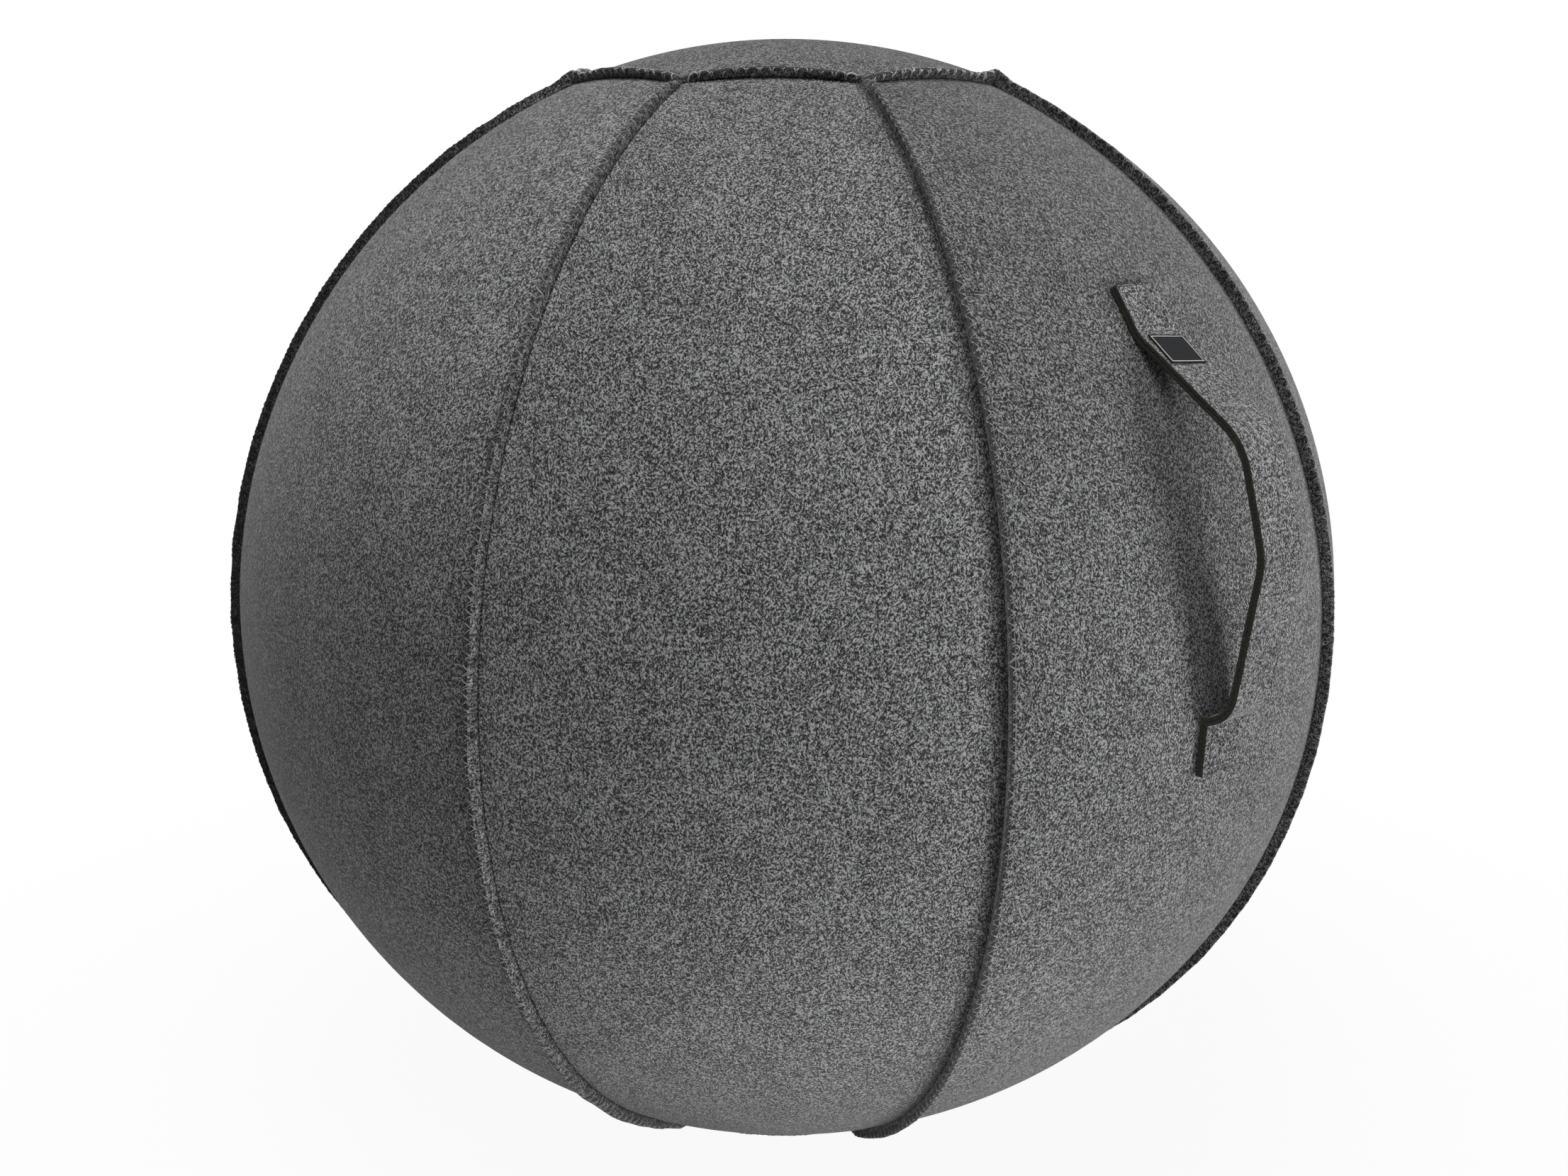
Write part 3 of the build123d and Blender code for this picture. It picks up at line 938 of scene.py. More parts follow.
@dataclass(frozen=True)
class Border:
    """Grid lines of a felt panel's turned-out edge, counted from the ridge's top inward."""

    form: CoverForm
    wall: int = 4
    round: int = 4

    @property
    def lines(self) -> int:
        """Number of grid steps from the ridge's top to the panel."""
        return self.wall + self.round

    @property
    def start(self) -> float:
        """Distance from the seam at which the panel starts to turn out."""
        return self.form.felt * self.form.squeeze + self.form.bend

    def pinched(self, line: int) -> float:
        """Share of its thickness that the felt keeps at a grid line, least where threads bind the top."""
        wall = mix(self.form.pinch, self.form.squeeze, smooth_step(line, 0.0, self.wall))
        return mix(wall, 1.0, smooth_step(line, self.wall, self.lines))

    def profile(self, line: int, crest: float) -> tuple[float, float, float]:
        """Section of the turned-out edge.

        Args:
            line: Grid line, 0 at the ridge's top.
            crest: Height of the ridge's top.

        Returns:
            Distance from the seam, height above the plain felt, and how far the felt is turned out.
        """
        foot = self.form.bend - self.form.dip
        if line <= self.wall:
            return self.form.felt * self.pinched(line), mix(crest, foot, line / self.wall), 1.0
        turn = (line - self.wall) / self.round * math.pi / 2.0
        distance = self.start - self.form.bend * math.cos(turn)
        return distance, foot - self.form.bend * math.sin(turn), math.cos(turn) ** 2


def graded(share: float, pull: float = 0.75) -> float:
    """Draw evenly spaced shares toward both ends."""
    return share - pull * math.sin(2.0 * math.pi * share) / (2.0 * math.pi)


@dataclass
class Spot:
    """One point of a felt sheet: its place, its place on the cut cloth, and its marks."""

    place: Vector
    cloth: tuple[float, float]
    turned: float
    along: float
    thick: float = 1.0
    shade: float = PLAIN_SHADE
    painted_panel_light: float = 1.0


def sheet_mesh(name: str, columns: int, rows: int, lay: Callable[[int, int], Spot]) -> bpy.types.Object:
    """Lay a flat grid of felt over the ball.

    Args:
        name: The piece's name.
        columns: Grid steps across.
        rows: Grid steps along.
        lay: Gives the spot of a grid point.

    Returns:
        The piece, with its map and marks.
    """
    sheet = bmesh.new()
    bmesh.ops.create_grid(sheet, x_segments=columns, y_segments=rows, size=1.0)
    turned = sheet.verts.layers.float.new(TURNED_AND_GROOVE_SHADE)
    along = sheet.verts.layers.float.new(ALONG)
    shade = sheet.verts.layers.float.new(SHADE)
    painted_panel_light = sheet.verts.layers.float.new(PAINTED_PANEL_LIGHT)
    thick = sheet.verts.layers.deform.verify()
    cloth: dict[int, tuple[float, float]] = {}
    sheet.verts.index_update()
    for vert in sheet.verts:
        spot = lay(round((vert.co.x + 1.0) / 2.0 * columns), round((vert.co.y + 1.0) / 2.0 * rows))
        vert.co = spot.place
        vert[turned] = spot.turned
        vert[along] = spot.along
        vert[shade] = spot.shade
        vert[painted_panel_light] = spot.painted_panel_light
        vert[thick][0] = spot.thick
        cloth[vert.index] = spot.cloth
    uv = sheet.loops.layers.uv.new(FELT_UV)
    for face in sheet.faces:
        for loop in face.loops:
            loop[uv].uv = cloth[loop.vert.index]
    bmesh.ops.remove_doubles(sheet, verts=sheet.verts[:], dist=MERGE_WITHIN)
    bmesh.ops.dissolve_degenerate(sheet, edges=sheet.edges[:], dist=SLIVER)
    piece = finished(sheet, name)
    piece.vertex_groups.new(name=THICK)
    return piece


def finished(shape: bmesh.types.BMesh, name: str, smooth: bool = True) -> bpy.types.Object:
    """Turn a bmesh into an object at the origin.

    Args:
        shape: The bmesh, which is freed.
        name: The piece's name.
        smooth: Whether its faces are shaded smooth.

    Returns:
        The new object, linked to the scene.
    """
    mesh = bpy.data.meshes.new(name)
    for face in shape.faces:
        face.smooth = smooth
    shape.to_mesh(mesh)
    shape.free()
    piece = bpy.data.objects.new(name, mesh)
    bpy.context.scene.collection.objects.link(piece)
    return piece


def face_outward(piece: bpy.types.Object, centre: Vector) -> None:
    """Turn a sheet's faces so that they look away from a centre.

    Args:
        piece: The sheet.
        centre: The centre that most of its faces look away from afterwards.
    """
    mesh = piece.data
    votes = sum(1 if face.normal.dot(face.center - centre) > 0.0 else -1 for face in mesh.polygons)
    if votes < 0:
        mesh.flip_normals()


def thicken(piece: bpy.types.Object, thickness: float, rim: float) -> None:
    """Give a sheet its thickness inward, a rim of the second material and rounded rims.

    Args:
        piece: The sheet.
        thickness: Thickness of the cloth.
        rim: Radius of the rounded rims.
    """
    solid = piece.modifiers.new("thickness", "SOLIDIFY")
    solid.thickness = thickness
    solid.offset = -1.0
    solid.use_even_offset = True
    solid.material_offset_rim = 1
    if THICK in piece.vertex_groups:
        solid.vertex_group = THICK
    soft = piece.modifiers.new("soft_rim", "BEVEL")
    soft.width = rim
    soft.segments = RIM_STEPS
    soft.material = 1
    soft.limit_method = "ANGLE"
    soft.angle_limit = SHARP_EDGE


def dress(piece: bpy.types.Object, *finishes: Finish) -> None:
    """Give a piece its materials.

    Args:
        piece: The piece.
        finishes: Its finishes, in the order of its material slots.
    """
    piece.data.materials.clear()
    for finish in finishes:
        piece.data.materials.append(finish.material())


def report(piece: bpy.types.Object) -> bpy.types.Object:
    """Log a piece that is done."""
    LOG.info("%s: %d faces", piece.name, len(piece.data.polygons))
    return piece


@dataclass
class GorePanel:
    """One felt gore with its turned-out edges on all four sides."""

    form: CoverForm
    index: int
    left: SideSeam
    right: SideSeam
    top: CapSeam
    bottom: CapSeam
    # Painted light and shade on the gore, standing in for its sheen and the fall of light: level at the
    # foot and the head, and the elevations it changes between.
    painted_panel_light: tuple[float, float] = (1.0, 1.0)
    painted_panel_light_span: tuple[float, float] = (0.0, 1.0)
    columns: int = 44
    rows: int = 150
    rounds: int = 3

    @property
    def middle(self) -> float:
        """Azimuth of the gore's middle."""
        return self.index * self.form.step

    def build(self) -> bpy.types.Object:
        """Lay the gore over the ball and dress it.

        Returns:
            The finished piece.
        """
        piece = sheet_mesh(f"gore_felt_{self.index + 1}", self.columns, self.rows, self.spot)
        face_outward(piece, self.form.centre)
        thicken(piece, self.form.felt * self.form.laid_share, self.form.rim)
        dress(piece, Finishes.felt, Finishes.brow)
        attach(piece, Body.BALL.value)
        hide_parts(f"gore_panel_{self.index + 1}")
        self.form.gore_area
        return report(piece)

    def side_offset(self, distance: float, lift: float) -> float:
        """Azimuth offset of a line at a distance from a side seam, as a positive angle."""
        return self.form.half - math.asin(distance / (self.form.radius * math.cos(lift)))

    def panel_edge(self, seam: SideSeam, lift: float) -> float:
        """Azimuth offset at which the panel starts to turn out toward a side seam."""
        return self.side_offset(mix(Border(self.form).start, seam.zip_half, seam.open(lift)), lift)

    def spot(self, column: int, row: int) -> Spot:
        """Lay one grid point.

        Args:
            column: Grid line from the left seam to the right one.
            row: Grid line from the bottom seam to the top one.

        Returns:
            The spot of that grid point.
        """
        border = Border(self.form)
        seam = self.left if column <= self.columns // 2 else self.right
        side = -1.0 if seam is self.left else 1.0
        line = min(column, self.columns - column)
        cap = self.bottom if row <= self.rows // 2 else self.top
        cap_line = min(row, self.rows - row)
        across = graded((column - border.lines) / (self.columns - 2 * border.lines))
        up = (row - border.lines) / (self.rows - 2 * border.lines)
        offset = mix(-self.form.half, self.form.half, across)
        if line < border.lines:
            offset = side * self.form.half
        lift = self.lift_of(offset, up, cap_line, cap)
        for _ in range(self.rounds):
            opened = seam.open(lift)
            if line < border.lines:
                distance, height, turned = border.profile(line, seam.crest(lift))
                distance = mix(distance, seam.zip_half, opened)
                height = mix(height, 0.0, opened)
                offset = side * self.side_offset(distance, lift)
            else:
                height, turned = -math.inf, 0.0
                offset = mix(-self.panel_edge(self.left, lift), self.panel_edge(self.right, lift), across)
            lift = self.lift_of(offset, up, cap_line, cap)
        angle = cap.angle_at(offset, lift)
        cap_height, cap_turned = -math.inf, 0.0
        if cap_line < border.lines:
            _, cap_height, cap_turned = border.profile(cap_line, cap.crest(angle))
        rise = max(height, cap_height)
        if rise == -math.inf:
            rise = -self.form.dip * self.sunk(offset, lift, opened)
            # Painted shade: beside the right seam the felt is marked as if turned, so the finish darkens it
            # like the ridge's shadow.
            turned = self.form.painted_groove_shade * self.painted_groove_share(seam, offset, lift)
        place = self.form.at(self.middle + offset, lift, rise)
        if line < border.lines:
            place += seam.aside * (seam.lean(lift) * self.form.lean_share(rise))
        if cap_line < border.lines:
            place += cap.aside * (cap.lean(angle) * self.form.lean_share(rise))
        stand = max(0.0, rise)
        cloth = (
            self.form.radius * math.cos(lift) * offset + side * stand * (line < border.lines) + self.index,
            self.form.radius * lift + cap.end.value * stand * (cap_line < border.lines),
        )
        along = self.form.radius * (angle if cap_height > height else lift)
        kept = min(border.pinched(line), border.pinched(cap_line))
        shade = PLAIN_SHADE
        # Painted light and shade: the right wall of the gore's left seam takes that seam's level.
        if seam is self.left and line < border.lines and cap_height <= height:
            shade = seam.shade(lift)
        turned = max(turned, cap_turned) * (1.0 - opened)
        painted_panel_light = mix(*self.painted_panel_light, smooth_step(lift, *self.painted_panel_light_span))
        return Spot(place, cloth, turned, along, mix(kept, 1.0, opened), shade, painted_panel_light)

    def lift_of(self, offset: float, up: float, line: int, cap: CapSeam) -> float:
        """Elevation of a row at an azimuth offset.

        Args:
            offset: Azimuth from the gore's middle.
            up: Share of the way from the bottom edge to the top one.
            line: Grid lines in from the nearer cap.
            cap: The nearer cap's seam.

        Returns:
            The elevation.
        """
        border = Border(self.form)
        edge = self.form.edge_lift(offset)
        slant = self.form.radius * self.form.edge_slant(offset)
        if line < border.lines:
            distance, _, _ = border.profile(line, self.form.ridge)
            return cap.end.value * (edge - math.asin(distance / slant))
        most = edge - math.asin(border.start / slant)
        return mix(-most, most, graded(up))

    def painted_groove_share(self, seam: SideSeam, offset: float, lift: float) -> float:
        """How far painted shade, standing in for the ridge's shadow, darkens the felt beside its right
        seam.

        Args:
            seam: The nearer side seam.
            offset: Azimuth from the gore's middle.
            lift: Elevation.

        Returns:
            A share from 0 to 1.
        """
        if seam is self.left:
            return 0.0
        away = self.to_side(offset, lift) - Border(self.form).start
        return 1.0 - smooth_step(away, 0.0, self.form.painted_groove_reach)

    def to_side(self, offset: float, lift: float) -> float:
        """Distance from a place to the plane of the nearer side seam."""
        return self.form.radius * math.cos(lift) * math.sin(self.form.half - abs(offset))

    def sunk(self, offset: float, lift: float, opened: float) -> float:
        """How far the felt is drawn in near a seam.

        Args:
            offset: Azimuth from the gore's middle.
            lift: Elevation.
            opened: How far the side seam is opened for the zip there.

        Returns:
            A share from 0 to 1.
        """
        to_side = self.to_side(offset, lift)
        to_cap = self.form.radius * (self.form.edge_lift(offset) - abs(lift))
        near = min(to_side, to_cap) - self.form.felt - self.form.bend
        return (1.0 - smooth_step(near, 0.0, self.form.dip_reach)) * (1.0 - opened)


@dataclass
class Cap:
    """An eight-sided felt cap with its edge turned out all round."""

    form: CoverForm
    end: End
    seams: list[CapSeam]
    columns: int = 192
    rings: int = 44
    ring_power: float = 1.25
    cloth_place: float = -3.0

    def build(self) -> bpy.types.Object:
        """Lay the cap over the pole and dress it.

        Returns:
            The finished piece.
        """
        label = "top" if self.end is End.TOP else "bottom"
        piece = sheet_mesh(f"{label}_cap_felt", self.columns, self.rings, self.spot)
        face_outward(piece, self.form.centre)
        thicken(piece, self.form.felt * self.form.laid_share, self.form.rim)
        dress(piece, Finishes.felt, Finishes.brow)
        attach(piece, Body.BALL.value)
        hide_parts(f"{label}_cap")
        return report(piece)

    def spot(self, column: int, ring: int) -> Spot:
        """Lay one grid point.

        Args:
            column: Grid line round the cap.
            ring: Grid line from the ridge's top in to the pole.

        Returns:
            The spot of that grid point.
        """
        border = Border(self.form)
        azimuth = 2.0 * math.pi * (column % self.columns) / self.columns
        index = int(math.floor(azimuth / self.form.step + 0.5)) % self.form.gores
        seam = self.seams[index]
        offset = (azimuth - index * self.form.step + math.pi) % (2.0 * math.pi) - math.pi
        edge = self.form.edge_lift(offset)
        slant = self.form.radius * self.form.edge_slant(offset)
        turned = 0.0
        angle = seam.angle_at(offset, edge)
        if ring < border.lines:
            distance, height, turned = border.profile(ring, seam.crest(angle))
            lift = edge + math.asin(distance / slant)
        else:
            share = (ring - border.lines) / (self.rings - border.lines)
            start = edge + math.asin(border.start / slant)
            lift = mix(start, math.pi / 2.0, share**self.ring_power)
            near = (lift - start) * self.form.radius
            height = -self.form.dip * (1.0 - smooth_step(near, 0.0, self.form.dip_reach))
        place = self.form.at(azimuth, self.end.value * lift, height)
        if ring < border.lines:
            place += seam.aside * (seam.lean(angle) * self.form.lean_share(height))
        reach = self.form.radius * (math.pi / 2.0 - lift) + max(0.0, height)
        cloth = (reach * math.sin(azimuth), reach * math.cos(azimuth) + self.cloth_place * self.end.value)
        return Spot(place, cloth, turned, self.form.radius * angle, border.pinched(ring))


def tube(name: str, paths: Iterable[list[Vector]], radius: float, sides: int = 0) -> bpy.types.Object:
    """Draw threads along open paths.

    Args:
        name: The piece's name.
        paths: Points of each thread.
        radius: Radius of the thread.
        sides: Bevel resolution of the thread.

    Returns:
        One mesh of all the threads, at the origin.
    """
    curve = bpy.data.curves.new(name, "CURVE")
    curve.dimensions = "3D"
    curve.bevel_depth = radius
    curve.bevel_resolution = sides
    curve.use_fill_caps = True
    for path in paths:
        spline = curve.splines.new("POLY")
        spline.points.add(len(path) - 1)
        for point, place in zip(spline.points, path):
            point.co = (*place, 1.0)
    holder = bpy.data.objects.new(name, curve)
    bpy.context.scene.collection.objects.link(holder)
    bpy.context.view_layer.update()
    mesh = bpy.data.meshes.new_from_object(holder.evaluated_get(bpy.context.evaluated_depsgraph_get()))
    bpy.data.objects.remove(holder)
    bpy.data.curves.remove(curve)
    mesh.name = name
    for face in mesh.polygons:
        face.use_smooth = True
    piece = bpy.data.objects.new(name, mesh)
    bpy.context.scene.collection.objects.link(piece)
    return piece


@dataclass
class Overlock:
    """Overlock threads over the top of a ridge, crossing it from face to face."""

    form: CoverForm
    pitch: float = 0.0064
    depth: float = 0.0030
    thread: float = 0.00021
    foot_gap: float = 0.004
    foot_share: float = 0.6
    hug: float = 0.9
    stagger: float = 0.4
    jitter: float = 0.16
    slack: float = 0.35
    sunk: float = 2.4
    sunk_span: tuple[float, float] = (0.05, 0.3)

    def build(self, name: str, seams: Iterable[Seam], finish: Finish) -> bpy.types.Object:
        """Sew one or more ridges.

        Args:
            name: The piece's name.
            seams: The seams whose ridges are sewn.
            finish: The thread's finish.

        Returns:
            The finished piece.
        """
        paths: list[list[Vector]] = []
        for seam in seams:
            for first, last in self.stretches(seam):
                for face in (-1.0, 1.0):
                    paths.append(self.path(seam, first, last, face))
        piece = tube(name, paths, self.thread)
        dress(piece, finish)
        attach(piece, Body.BALL.value)
        return report(piece)

    def stretches(self, seam: Seam) -> list[tuple[float, float]]:
        """Find the stretches of a seam that stand as a ridge.

        Args:
            seam: The seam.

        Returns:
            Each stretch's first and last angle.
        """
        edge = self.foot_gap / self.form.radius
        whole = (-seam.reach + edge, seam.reach - edge)
        if isinstance(seam, SideSeam) and seam.zip_high > seam.zip_low:
            return [(whole[0], seam.zip_low - edge / 4.0), (seam.zip_high + edge / 4.0, whole[1])]
        return [whole]

    def path(self, seam: Seam, first: float, last: float, face: float) -> list[Vector]:
        """Follow one looper thread along one face of a ridge.

        Args:
            seam: The seam.
            first: Angle at which the thread starts.
            last: Angle at which it ends.
            face: -1 or 1, for the face on one side or the other.

        Returns:
            The thread's points.
        """
        count = max(1, round((last - first) * self.form.radius / self.pitch))
        step = (last - first) / count
        brow = self.form.felt * self.form.pinch + self.thread
        foot = self.form.felt * mix(self.form.pinch, self.form.squeeze, self.foot_share) + self.thread
        near, over = face * self.hug * brow, -face * self.hug * brow
        # Each beat is a share of the pitch, a height over the crest and a distance aside.
        beats = (
            (0.00, -self.depth, face * foot),
            (0.10, -0.35 * self.depth, face * mix(brow, foot, 0.35)),
            (0.18, 0.0, near),
            (0.34, self.thread, 0.0),
            (0.50, 0.0, over),
            (0.56, -0.4 * self.depth, -face * brow),
            (0.64, 0.0, over),
            (0.78, self.thread, 0.0),
            (0.90, 0.0, near),
        )
        points = []
        for number in range(count):
            seed = number + 31.0 * seam.index
            for share, drop, aside in beats:
                jitter = self.jitter * wander(seed * 0.83 + share, 7.0 + face)
                angle = first + (number + share + jitter + self.stagger * (face > 0.0)) * step
                angle = min(last, max(first, angle))
                slack = 1.0 + self.slack * wander(seed * 1.31, 3.0 + face)
                hidden = smooth_step(wander(seed * 0.57 + share, 9.0 + face), *self.sunk_span)
                height = seam.crest(angle) + drop * slack - self.sunk * self.thread * hidden
                points.append(seam.place(angle, height, aside))
        return points


@dataclass(frozen=True)
class Route:
    """A bent line in one plane: straight runs joined by round corners."""

    points: tuple[Vector, ...]
    radii: tuple[float, ...]
    arc_step: float = math.radians(6.0)

    def corners(self) -> list[Vector]:
        """Follow the line, with its corners rounded.

        Returns:
            Points close enough together to stand for the line.
        """
        path = [self.points[0]]
        for before, point, after, radius in zip(self.points, self.points[1:], self.points[2:], self.radii):
            come = (point - before).normalized()
            go = (after - point).normalized()
            turn = come.angle(go)
            inward = (go - come).normalized()
            middle = point + inward * radius / math.cos(turn / 2.0)
            start = point - come * radius * math.tan(turn / 2.0)
            spin = math.copysign(turn, come.cross(go))
            steps = max(2, math.ceil(turn / self.arc_step))
            for step in range(steps + 1):
                path.append(middle + Matrix.Rotation(spin * step / steps, 2) @ (start - middle))
        path.append(self.points[-1])
        return path

    def trace(self, spacing: float) -> Trace:
        """Follow the line at an even spacing.

        Args:
            spacing: About how far apart the places are.

        Returns:
            Each place with its direction.
        """
        path = self.corners()
        lengths = [(after - before).length for before, after in zip(path, path[1:])]
        total = sum(lengths)
        count = round(total / spacing)
        places = []
        run, passed = 0, 0.0
        for number in range(count + 1):
            along = total * number / count
            while run < len(lengths) - 1 and passed + lengths[run] < along:
                passed += lengths[run]
                run += 1
            share = (along - passed) / lengths[run]
            places.append(path[run].lerp(path[run + 1], share))
        ends = [places[0], *places, places[-1]]
        return [(place, (ends[k + 2] - ends[k]).normalized()) for k, place in enumerate(places)]


@dataclass
class Handle:
    """The felt strap: two plies sewn down at both ends, a woven tag across it, and its stitches."""

    form: CoverForm
    swing: dict
    width: float = 0.030
    sewn: float = 0.028
    seat: float = 0.0004
    upper_fold: float = 0.190
    lower_fold: float = 0.0
    shoulder: tuple[float, float] = (0.126, 0.040)
    elbow: tuple[float, float] = (0.076, 0.038)
    heel: tuple[float, float] = (0.0054, 0.0164)
    radii: tuple[float, ...] = (0.015, 0.038, 0.035, 0.018, 0.003)
    slant: tuple[float, float] = (0.0008, -0.0018)
    ply_gap: float = 0.00006
    ply_share: float = 0.82
    ply_rim: float = 0.0004
    waver: float = 0.00022
    waver_rate: float = 260.0
    swell: float = 0.00025
    swell_rates: tuple[float, float] = (60.0, 90.0)
    swell_span: tuple[float, float] = (0.014, 0.0392)
    cloth_place: float = 0.37
    spacing: float = 0.0012
    columns: int = 14
    still_before: float = -0.008
    swings_after: float = 0.010
    tag_start: float = 0.0035
    tag_size: tuple[float, float] = (0.024, 0.021)
    tag_turn: float = math.radians(7.0)
    tag_aside: float = 0.0003
    tag_thickness: float = 0.0006
    tag_rim: float = 0.00015
    tag_seat: float = 0.0003
    tag_waver: float = 0.00008
    tag_rates: tuple[float, float] = (190.0, 230.0)
    tag_grid: tuple[int, int] = (12, 10)
    stitch: float = 0.0030
    stitch_gap: float = 0.0009
    stitch_radius: float = 0.0002
    bites: tuple = ((0.0, -0.0005), (0.18, 0.00012), (0.5, 0.00022), (0.82, 0.00012), (1.0, -0.0005))
    box_inset: float = 0.0045
    edge_inset: float = 0.0008

    @property
    def ply(self) -> float:
        """Thickness of one ply."""
        return self.form.felt * self.ply_share

    @property
    def corners(self) -> tuple[Vector, ...]:
        """Corners of the line between the plies, as distance out from the centre and height above it.

        Returns:
            The corners, from the upper end down.
        """
        middle = self.seat + self.ply
        uppers = [(self.upper_fold + self.sewn, middle), (self.upper_fold, middle)]
        lowers = [(self.lower_fold, middle), (self.lower_fold - self.sewn, middle)]
        bends = [*uppers, self.shoulder, self.elbow, self.heel, *lowers]
        return tuple(self.above(length, height) for length, height in bends)

    def above(self, length: float, height: float) -> Vector:
        """Point of the side view, found along the felt.

        Args:
            length: Length along the felt above the ball's middle.
            height: Height over the felt.

        Returns:
            Distance out from the centre and height above it.
        """
        turn = length / self.form.radius
        radius = self.form.radius + height
        return Vector((radius * math.cos(turn), radius * math.sin(turn)))

    def out(self, place: Vector, direction: Vector, across: float, height: float) -> Vector:
        """Point of the strap, by its place in the side view, the way it runs, and its place off both."""
        side = place + Vector((-direction.y, direction.x)) * height
        return self.form.centre + Vector((across, -side.x, side.y))

    def build(self) -> list[bpy.types.Object]:
        """Make the plies, the tag and the stitches.

        Returns:
            The finished pieces.
        """
        trace = Route(self.corners, self.radii).trace(self.spacing)
        outer = self.make_ply("outer", trace, self.ply_gap + self.ply)
        inner = self.make_ply("inner", trace, -self.ply_gap)
        return [outer, inner, self.make_tag(), self.make_stitches(trace)]

    def make_ply(self, label: str, trace: Trace, top: float) -> bpy.types.Object:
        """Lay one ply along the strap's line.

        Args:
            label: outer or inner.
            trace: Places and directions along the strap.
            top: Height of the ply's outer face above the strap's line.

        Returns:
            The finished piece.
        """
        last = len(trace) - 1

        def spot(column: int, row: int) -> Spot:
            """Lay one grid point of the ply.

            Args:
                column: Grid line across the ply.
                row: Grid line along it, from the upper end.

            Returns:
                The spot of that grid point.
            """
            place, direction = trace[row]
            across = self.width * (column / self.columns - 0.5)
            along = row * self.spacing
            edge = self.waver * wander(along * self.waver_rate, 5.0 + (column > self.columns // 2))
            swell = self.swell * wander(along * self.swell_rates[0], 8.0 + across * self.swell_rates[1])
            free = smooth_step(min(row, last - row) * self.spacing, *self.swell_span)
            aside = across * (1.0 + edge / self.width) + mix(*self.slant, row / last)
            point = self.out(place, direction, aside, top + swell * free)
            return Spot(point, (across + self.cloth_place, along), 0.0, along)

        piece = sheet_mesh(f"strap_{label}", self.columns, last, spot)
        face_outward(piece, self.form.centre)
        thicken(piece, self.ply, self.ply_rim)
        dress(piece, Finishes.felt, Finishes.cut)
        self.swing_with(piece)
        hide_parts(*(f"handle_{part}_{label}" for part in ("upper_end", "loop", "lower_end")))
        return report(piece)

    def swing_with(self, piece: bpy.types.Object) -> None:
        """Bake a piece's place into its mesh; the piece does not bend or swing with the loop.

        Args:
            piece: The piece.
        """
        away = Vector(self.swing["axis"]).cross(Vector((1.0, 0.0, 0.0))).normalized()
        if away.y > 0.0:
            away = -away
        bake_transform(piece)

    def make_tag(self) -> bpy.types.Object:
        """Lay the woven tag across the strap, just below its upper fold.

        Returns:
            The finished piece.
        """
        _, fold, shoulder, *_ = self.corners
        rise = (shoulder - fold).normalized()
        columns, rows = self.tag_grid
        width, length = self.tag_size
        top = self.ply + 2.0 * self.ply_gap + self.tag_thickness + self.tag_seat
        middle = self.tag_start + length / 2.0

        def spot(column: int, row: int) -> Spot:
            """Lay one grid point of the tag.

            Args:
                column: Grid line across the tag.
                row: Grid line along it.

            Returns:
                The spot of that grid point.
            """
            flat = Vector((width * (column / columns - 0.5), length * (row / rows - 0.5)))
            across, along = Matrix.Rotation(self.tag_turn, 2) @ flat
            lift = self.tag_waver * wander(along * self.tag_rates[0], across * self.tag_rates[1])
            point = self.out(fold + rise * (middle + along), rise, across + self.tag_aside, top + lift)
            return Spot(point, (flat.x, flat.y), 0.0, along)

        piece = sheet_mesh("handle_tag_weave", columns, rows, spot)
        face_outward(piece, self.form.centre)
        thicken(piece, self.tag_thickness, self.tag_rim)
        dress(piece, Finishes.tag, Finishes.tag)
        self.swing_with(piece)
        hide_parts("handle_tag")
        return report(piece)

    def make_stitches(self, trace: Trace) -> bpy.types.Object:
        """Sew a crossed box through each sewn end.

        Args:
            trace: Places and directions along the strap.

        Returns:
            The finished piece.
        """
        half = self.width / 2.0 - self.box_inset
        near, far = self.box_inset, self.sewn - self.box_inset
        total = (len(trace) - 1) * self.spacing
        paths: list[list[Vector]] = []
        for first, last in ((near, far), (total - far, total - near)):
            box = [(-half, first), (half, first), (half, last), (-half, last)]
            runs = list(zip(box, box[1:] + box[:1])) + [(box[0], box[2]), (box[1], box[3])]
            for start, end in runs:
                paths.extend(self.row(trace, Vector(start), Vector(end)))
        edge = self.width / 2.0 - self.edge_inset
        for along in (self.edge_inset, total - self.edge_inset):
            paths.extend(self.row(trace, Vector((-edge, along)), Vector((edge, along))))
        piece = tube("strap_stitches", paths, self.stitch_radius)
        dress(piece, Finishes.dark_thread)
        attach(piece, Body.BALL.value)
        return report(piece)

    def row(self, trace: Trace, start: Vector, end: Vector) -> list[list[Vector]]:
        """Sew one straight row of stitches on the strap's outer face.

        Args:
            trace: Places and directions along the strap.
            start: Where the row starts, across and along the strap.
            end: Where it ends.

        Returns:
            The points of each stitch.
        """
        count = max(1, round((end - start).length / (self.stitch + self.stitch_gap)))
        share = self.stitch / (self.stitch + self.stitch_gap)
        rows = []
        for number in range(count):
            points = []
            for along, height in self.bites:
                spot = start.lerp(end, (number + 0.5 + (along - 0.5) * share) / count)
                place, direction = trace[min(len(trace) - 1, round(spot.y / self.spacing))]
                aside = mix(*self.slant, spot.y / (self.spacing * (len(trace) - 1)))
                points.append(self.out(place, direction, spot.x + aside, self.ply_gap + self.ply + height))
            rows.append(points)
        return rows


